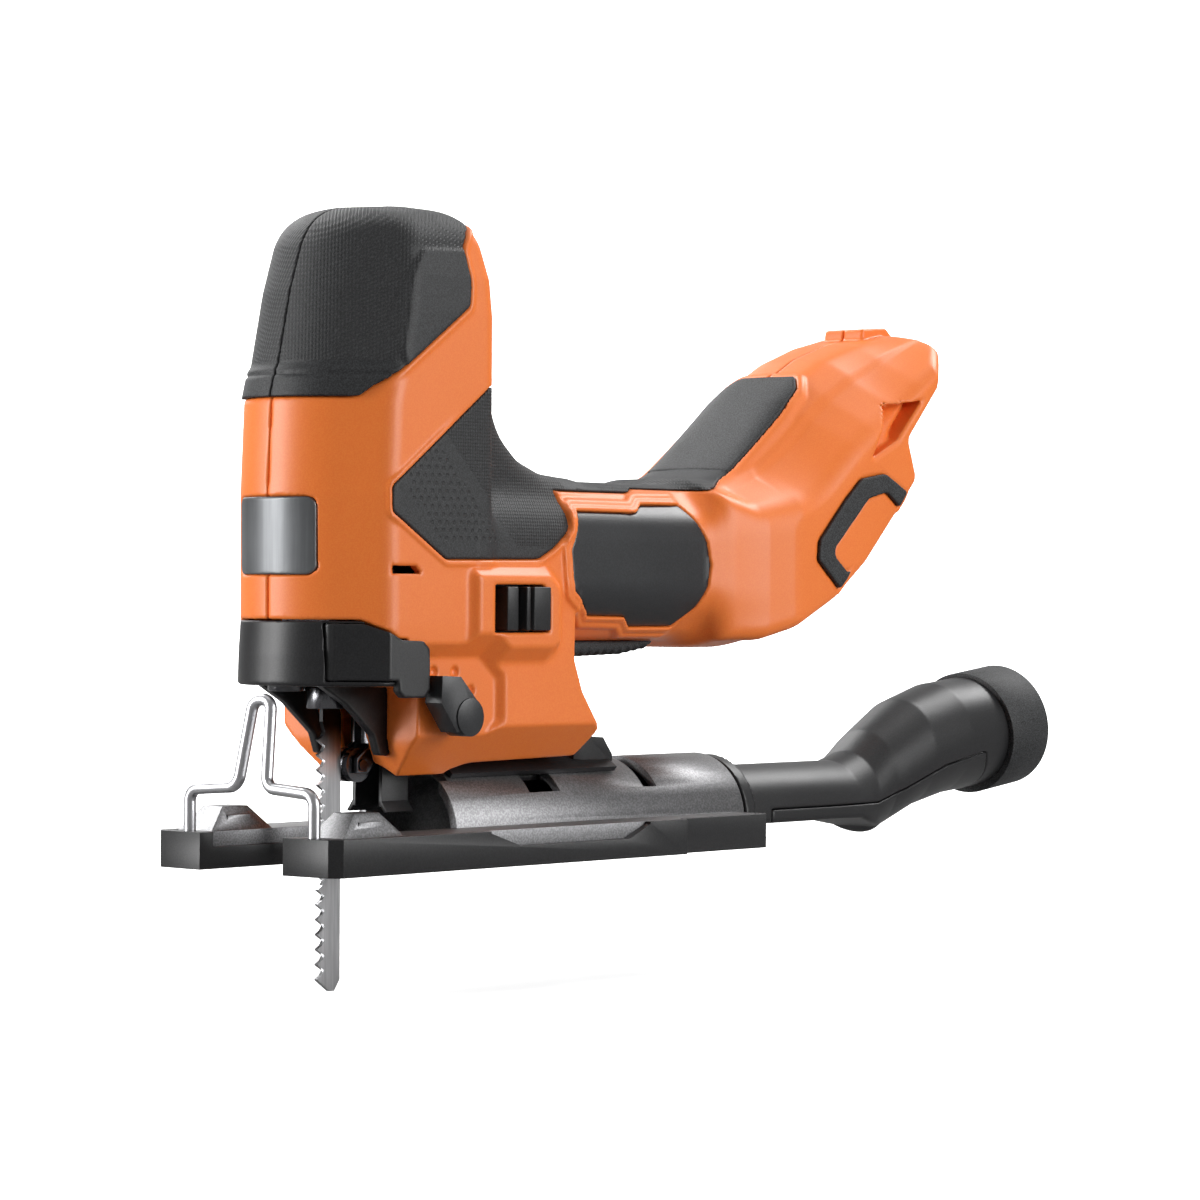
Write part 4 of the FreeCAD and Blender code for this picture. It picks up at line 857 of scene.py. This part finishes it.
def make_finishes():
    """Every finish by name: the colour, the roughness and what else sets it apart."""
    steel = dict(metal=1.0, grain=0.12, patch=0.10, grain_scale=900.0, brushed=(1.0, 1.0, 0.06))
    choices = {
        "orange_plastic": dict(colour=(0.84, 0.195, 0.030), rough=0.42, grain=0.06, patch=0.03),
        "soft_grip": dict(colour=BLACK, rough=0.62, grain=0.5, patch=0.08),
        "cap_grip": dict(colour=BLACK, rough=0.58, grain=0.35, pattern=cap_pattern),
        "neck_grip_rubber": dict(colour=BLACK, rough=0.60, grain=0.35, pattern=neck_pattern),
        "black_plastic": dict(colour=(0.014, 0.014, 0.015), rough=0.40, grain=0.12, patch=0.08,
                              specular=0.4),
        "label_plastic": dict(colour=(0.018, 0.019, 0.021), rough=0.36, grain=0.12, patch=0.08),
        "badge_panel": dict(colour=(0.13, 0.135, 0.14), rough=0.40, metal=0.6, grain=0.04,
                            patch=0.25, grain_scale=900.0, brushed=(1.0, 1.0, 0.04)),
        "cast_metal": dict(colour=(0.20, 0.20, 0.205), rough=0.42, metal=0.8, grain=0.14,
                           patch=0.12, grain_scale=1800.0),
        "steel": dict(colour=(0.50, 0.50, 0.51), rough=0.30, **steel),
        # the blade's finish: steel with painted shade, nearly black on its upper part
        "blade_steel": dict(colour=(0.50, 0.50, 0.51), rough=0.30, pattern=blade_painted_shade,
                            tint_to=0.03, **steel),
        "chrome": dict(colour=(0.60, 0.60, 0.62), rough=0.34, metal=1.0, grain=0.03, patch=0.05),
        "dark_chrome": dict(colour=(0.16, 0.16, 0.17), rough=0.22, metal=1.0, grain=0.03,
                            patch=0.08),
        "bronze": dict(colour=(0.42, 0.24, 0.09), rough=0.42, metal=1.0, grain=0.2, patch=0.12),
        "copper": dict(colour=(0.55, 0.20, 0.08), rough=0.32, metal=1.0, grain=0.25,
                       grain_scale=700.0, brushed=(0.05, 1.0, 1.0)),
        "circuit_board": dict(colour=(0.012, 0.09, 0.035), rough=0.35, grain=0.15, patch=0.2),
        "lamp_lens": dict(colour=(0.035, 0.035, 0.04), rough=0.2, grain=0.02, coat=0.4),
    }
    return {name: material(name, **choice) for name, choice in choices.items()}


# nodes whose finish is not the one named by their material slot
SPECIAL = {"orbital_lever": "label_plastic", "blade_collar": "dark_chrome", "guide_fork": "dark_chrome",
           "hose_collar": "soft_grip", "shoe_saddle": "black_plastic", "lever_pin": "black_plastic",
           "guide_roller": "dark_chrome", "roller_pin": "dark_chrome", "saw_blade": "blade_steel",
           "grip_cap": "cap_grip", "neck_grip": "neck_grip_rubber", "label_panels": "label_plastic"}


# ---- CAD nodes that keep their shape, with worn edges -------------------------------------
def softened(node, finish, width):
    """A copy of a CAD node with its sharp edges rounded off, which stands for the node."""
    mesh = frame["nodes"][node].data.copy()
    mesh.name = node + "_worn"
    build = bmesh.new()
    build.from_mesh(mesh)
    bmesh.ops.remove_doubles(build, verts=build.verts, dist=2e-6)
    bmesh.ops.dissolve_limit(build, angle_limit=math.radians(1.5), verts=build.verts,
                             edges=build.edges)
    build.to_mesh(mesh)
    build.free()
    made = stand_in(node + "_worn", node, mesh, finish)
    bevel = made.modifiers.new("bevel", "BEVEL")
    bevel.width = width * MM
    bevel.segments = 2
    bevel.limit_method = "ANGLE"
    bevel.angle_limit = math.radians(32.0)
    bevel.harden_normals = True


# how far each node's edges are rounded off
WORN = {"orbital_lever": 0.7, "switch_slider": 0.35, "shoe_plate": 0.35, "sole_cover": 0.9,
        "shoe_saddle": 0.3, "clamp_washer": 0.2, "clamp_bolt": 0.3, "hose_collar": 0.7,
        "guide_fork": 0.2, "dust_duct": 0.15, "blade_collar": 0.4, "work_light": 0.3,
        "terminal_block": 0.3}

# ---- all pieces ---------------------------------------------------------------------------
SHELL_STEP = 0.75
# piece, the node that it stands for, its field, the corners of its grid and the grid's step
PIECES = [
    ("left_cover", "left_shell", shell_field(-1),
     (-26.0, -34.0, 20.0), (248.0, 0.5, 182.0), SHELL_STEP),
    ("right_cover", "right_shell", shell_field(1),
     (-26.0, -0.5, 20.0), (248.0, 37.0, 182.0), SHELL_STEP),
    ("head_cap", "grip_cap", cap_field, (-26.0, -30.0, 124.0), (50.0, 30.0, 182.0), 0.6),
    ("soft_neck", "neck_grip", cover_field(grip_region),
     (-8.0, -30.0, 80.0), (153.0, 30.0, 132.0), 0.6),
    ("soft_rear_pad", "rear_pad", cover_field(pad_region, 0.25),
     (140.0, -38.0, 100.0), (192.0, 38.0, 152.0), 0.6),
    ("side_bumpers", "rear_bumpers", cover_field(bumper_region, 0.5),
     (168.0, -38.0, 74.0), (217.0, 38.0, 114.0), 0.6),
    ("side_labels", "label_panels", cover_field(label_region, -0.1),
     (66.0, -30.0, 62.0), (132.0, 30.0, 103.0), 0.6),
    ("front_badge", "badge", cover_field(badge_region, 0.1),
     (-27.0, -16.0, 76.0), (0.0, 16.0, 102.0), 0.5),
    ("nose_band", "nose_cover", nose_field, (-27.0, -30.0, 29.0), (14.0, 30.0, 69.0), 0.5),
    ("release_tab", "release_lever", lever_field, (-19.0, -31.0, 45.0), (11.0, -12.0, 68.0), 0.45),
    ("finger_grip", "finger_pad", finger_pad_field, (82.0, -14.0, 54.0), (128.0, 14.0, 68.0), 0.5),
    ("dust_pipe", "dust_tube", tube_field, (83.0, -19.0, -2.0), (301.0, 19.0, 50.0), 0.7),
    ("dust_pipe_cover", "tube_cover", tube_cover_field,
     (174.0, -19.0, -2.0), (291.0, 19.0, 30.0), 0.6),
]


def build_all():
    finishes = make_finishes()
    finish = {node: finishes[SPECIAL.get(node, SLOT_OF[node])] for node in frame["nodes"]}
    for node, obj in frame["nodes"].items():
        obj.data.materials.clear()
        obj.data.materials.append(finish[node])
    for node, width in WORN.items():
        softened(node, finish[node], width)
    for name, node, field, low, high, step in PIECES:
        mesh = quad_mesh(name, *surface_points(field, low, high, step))
        stand_in(name, node, mesh, finish[node])


make_camera()
make_stage()
make_lights()
build_all()
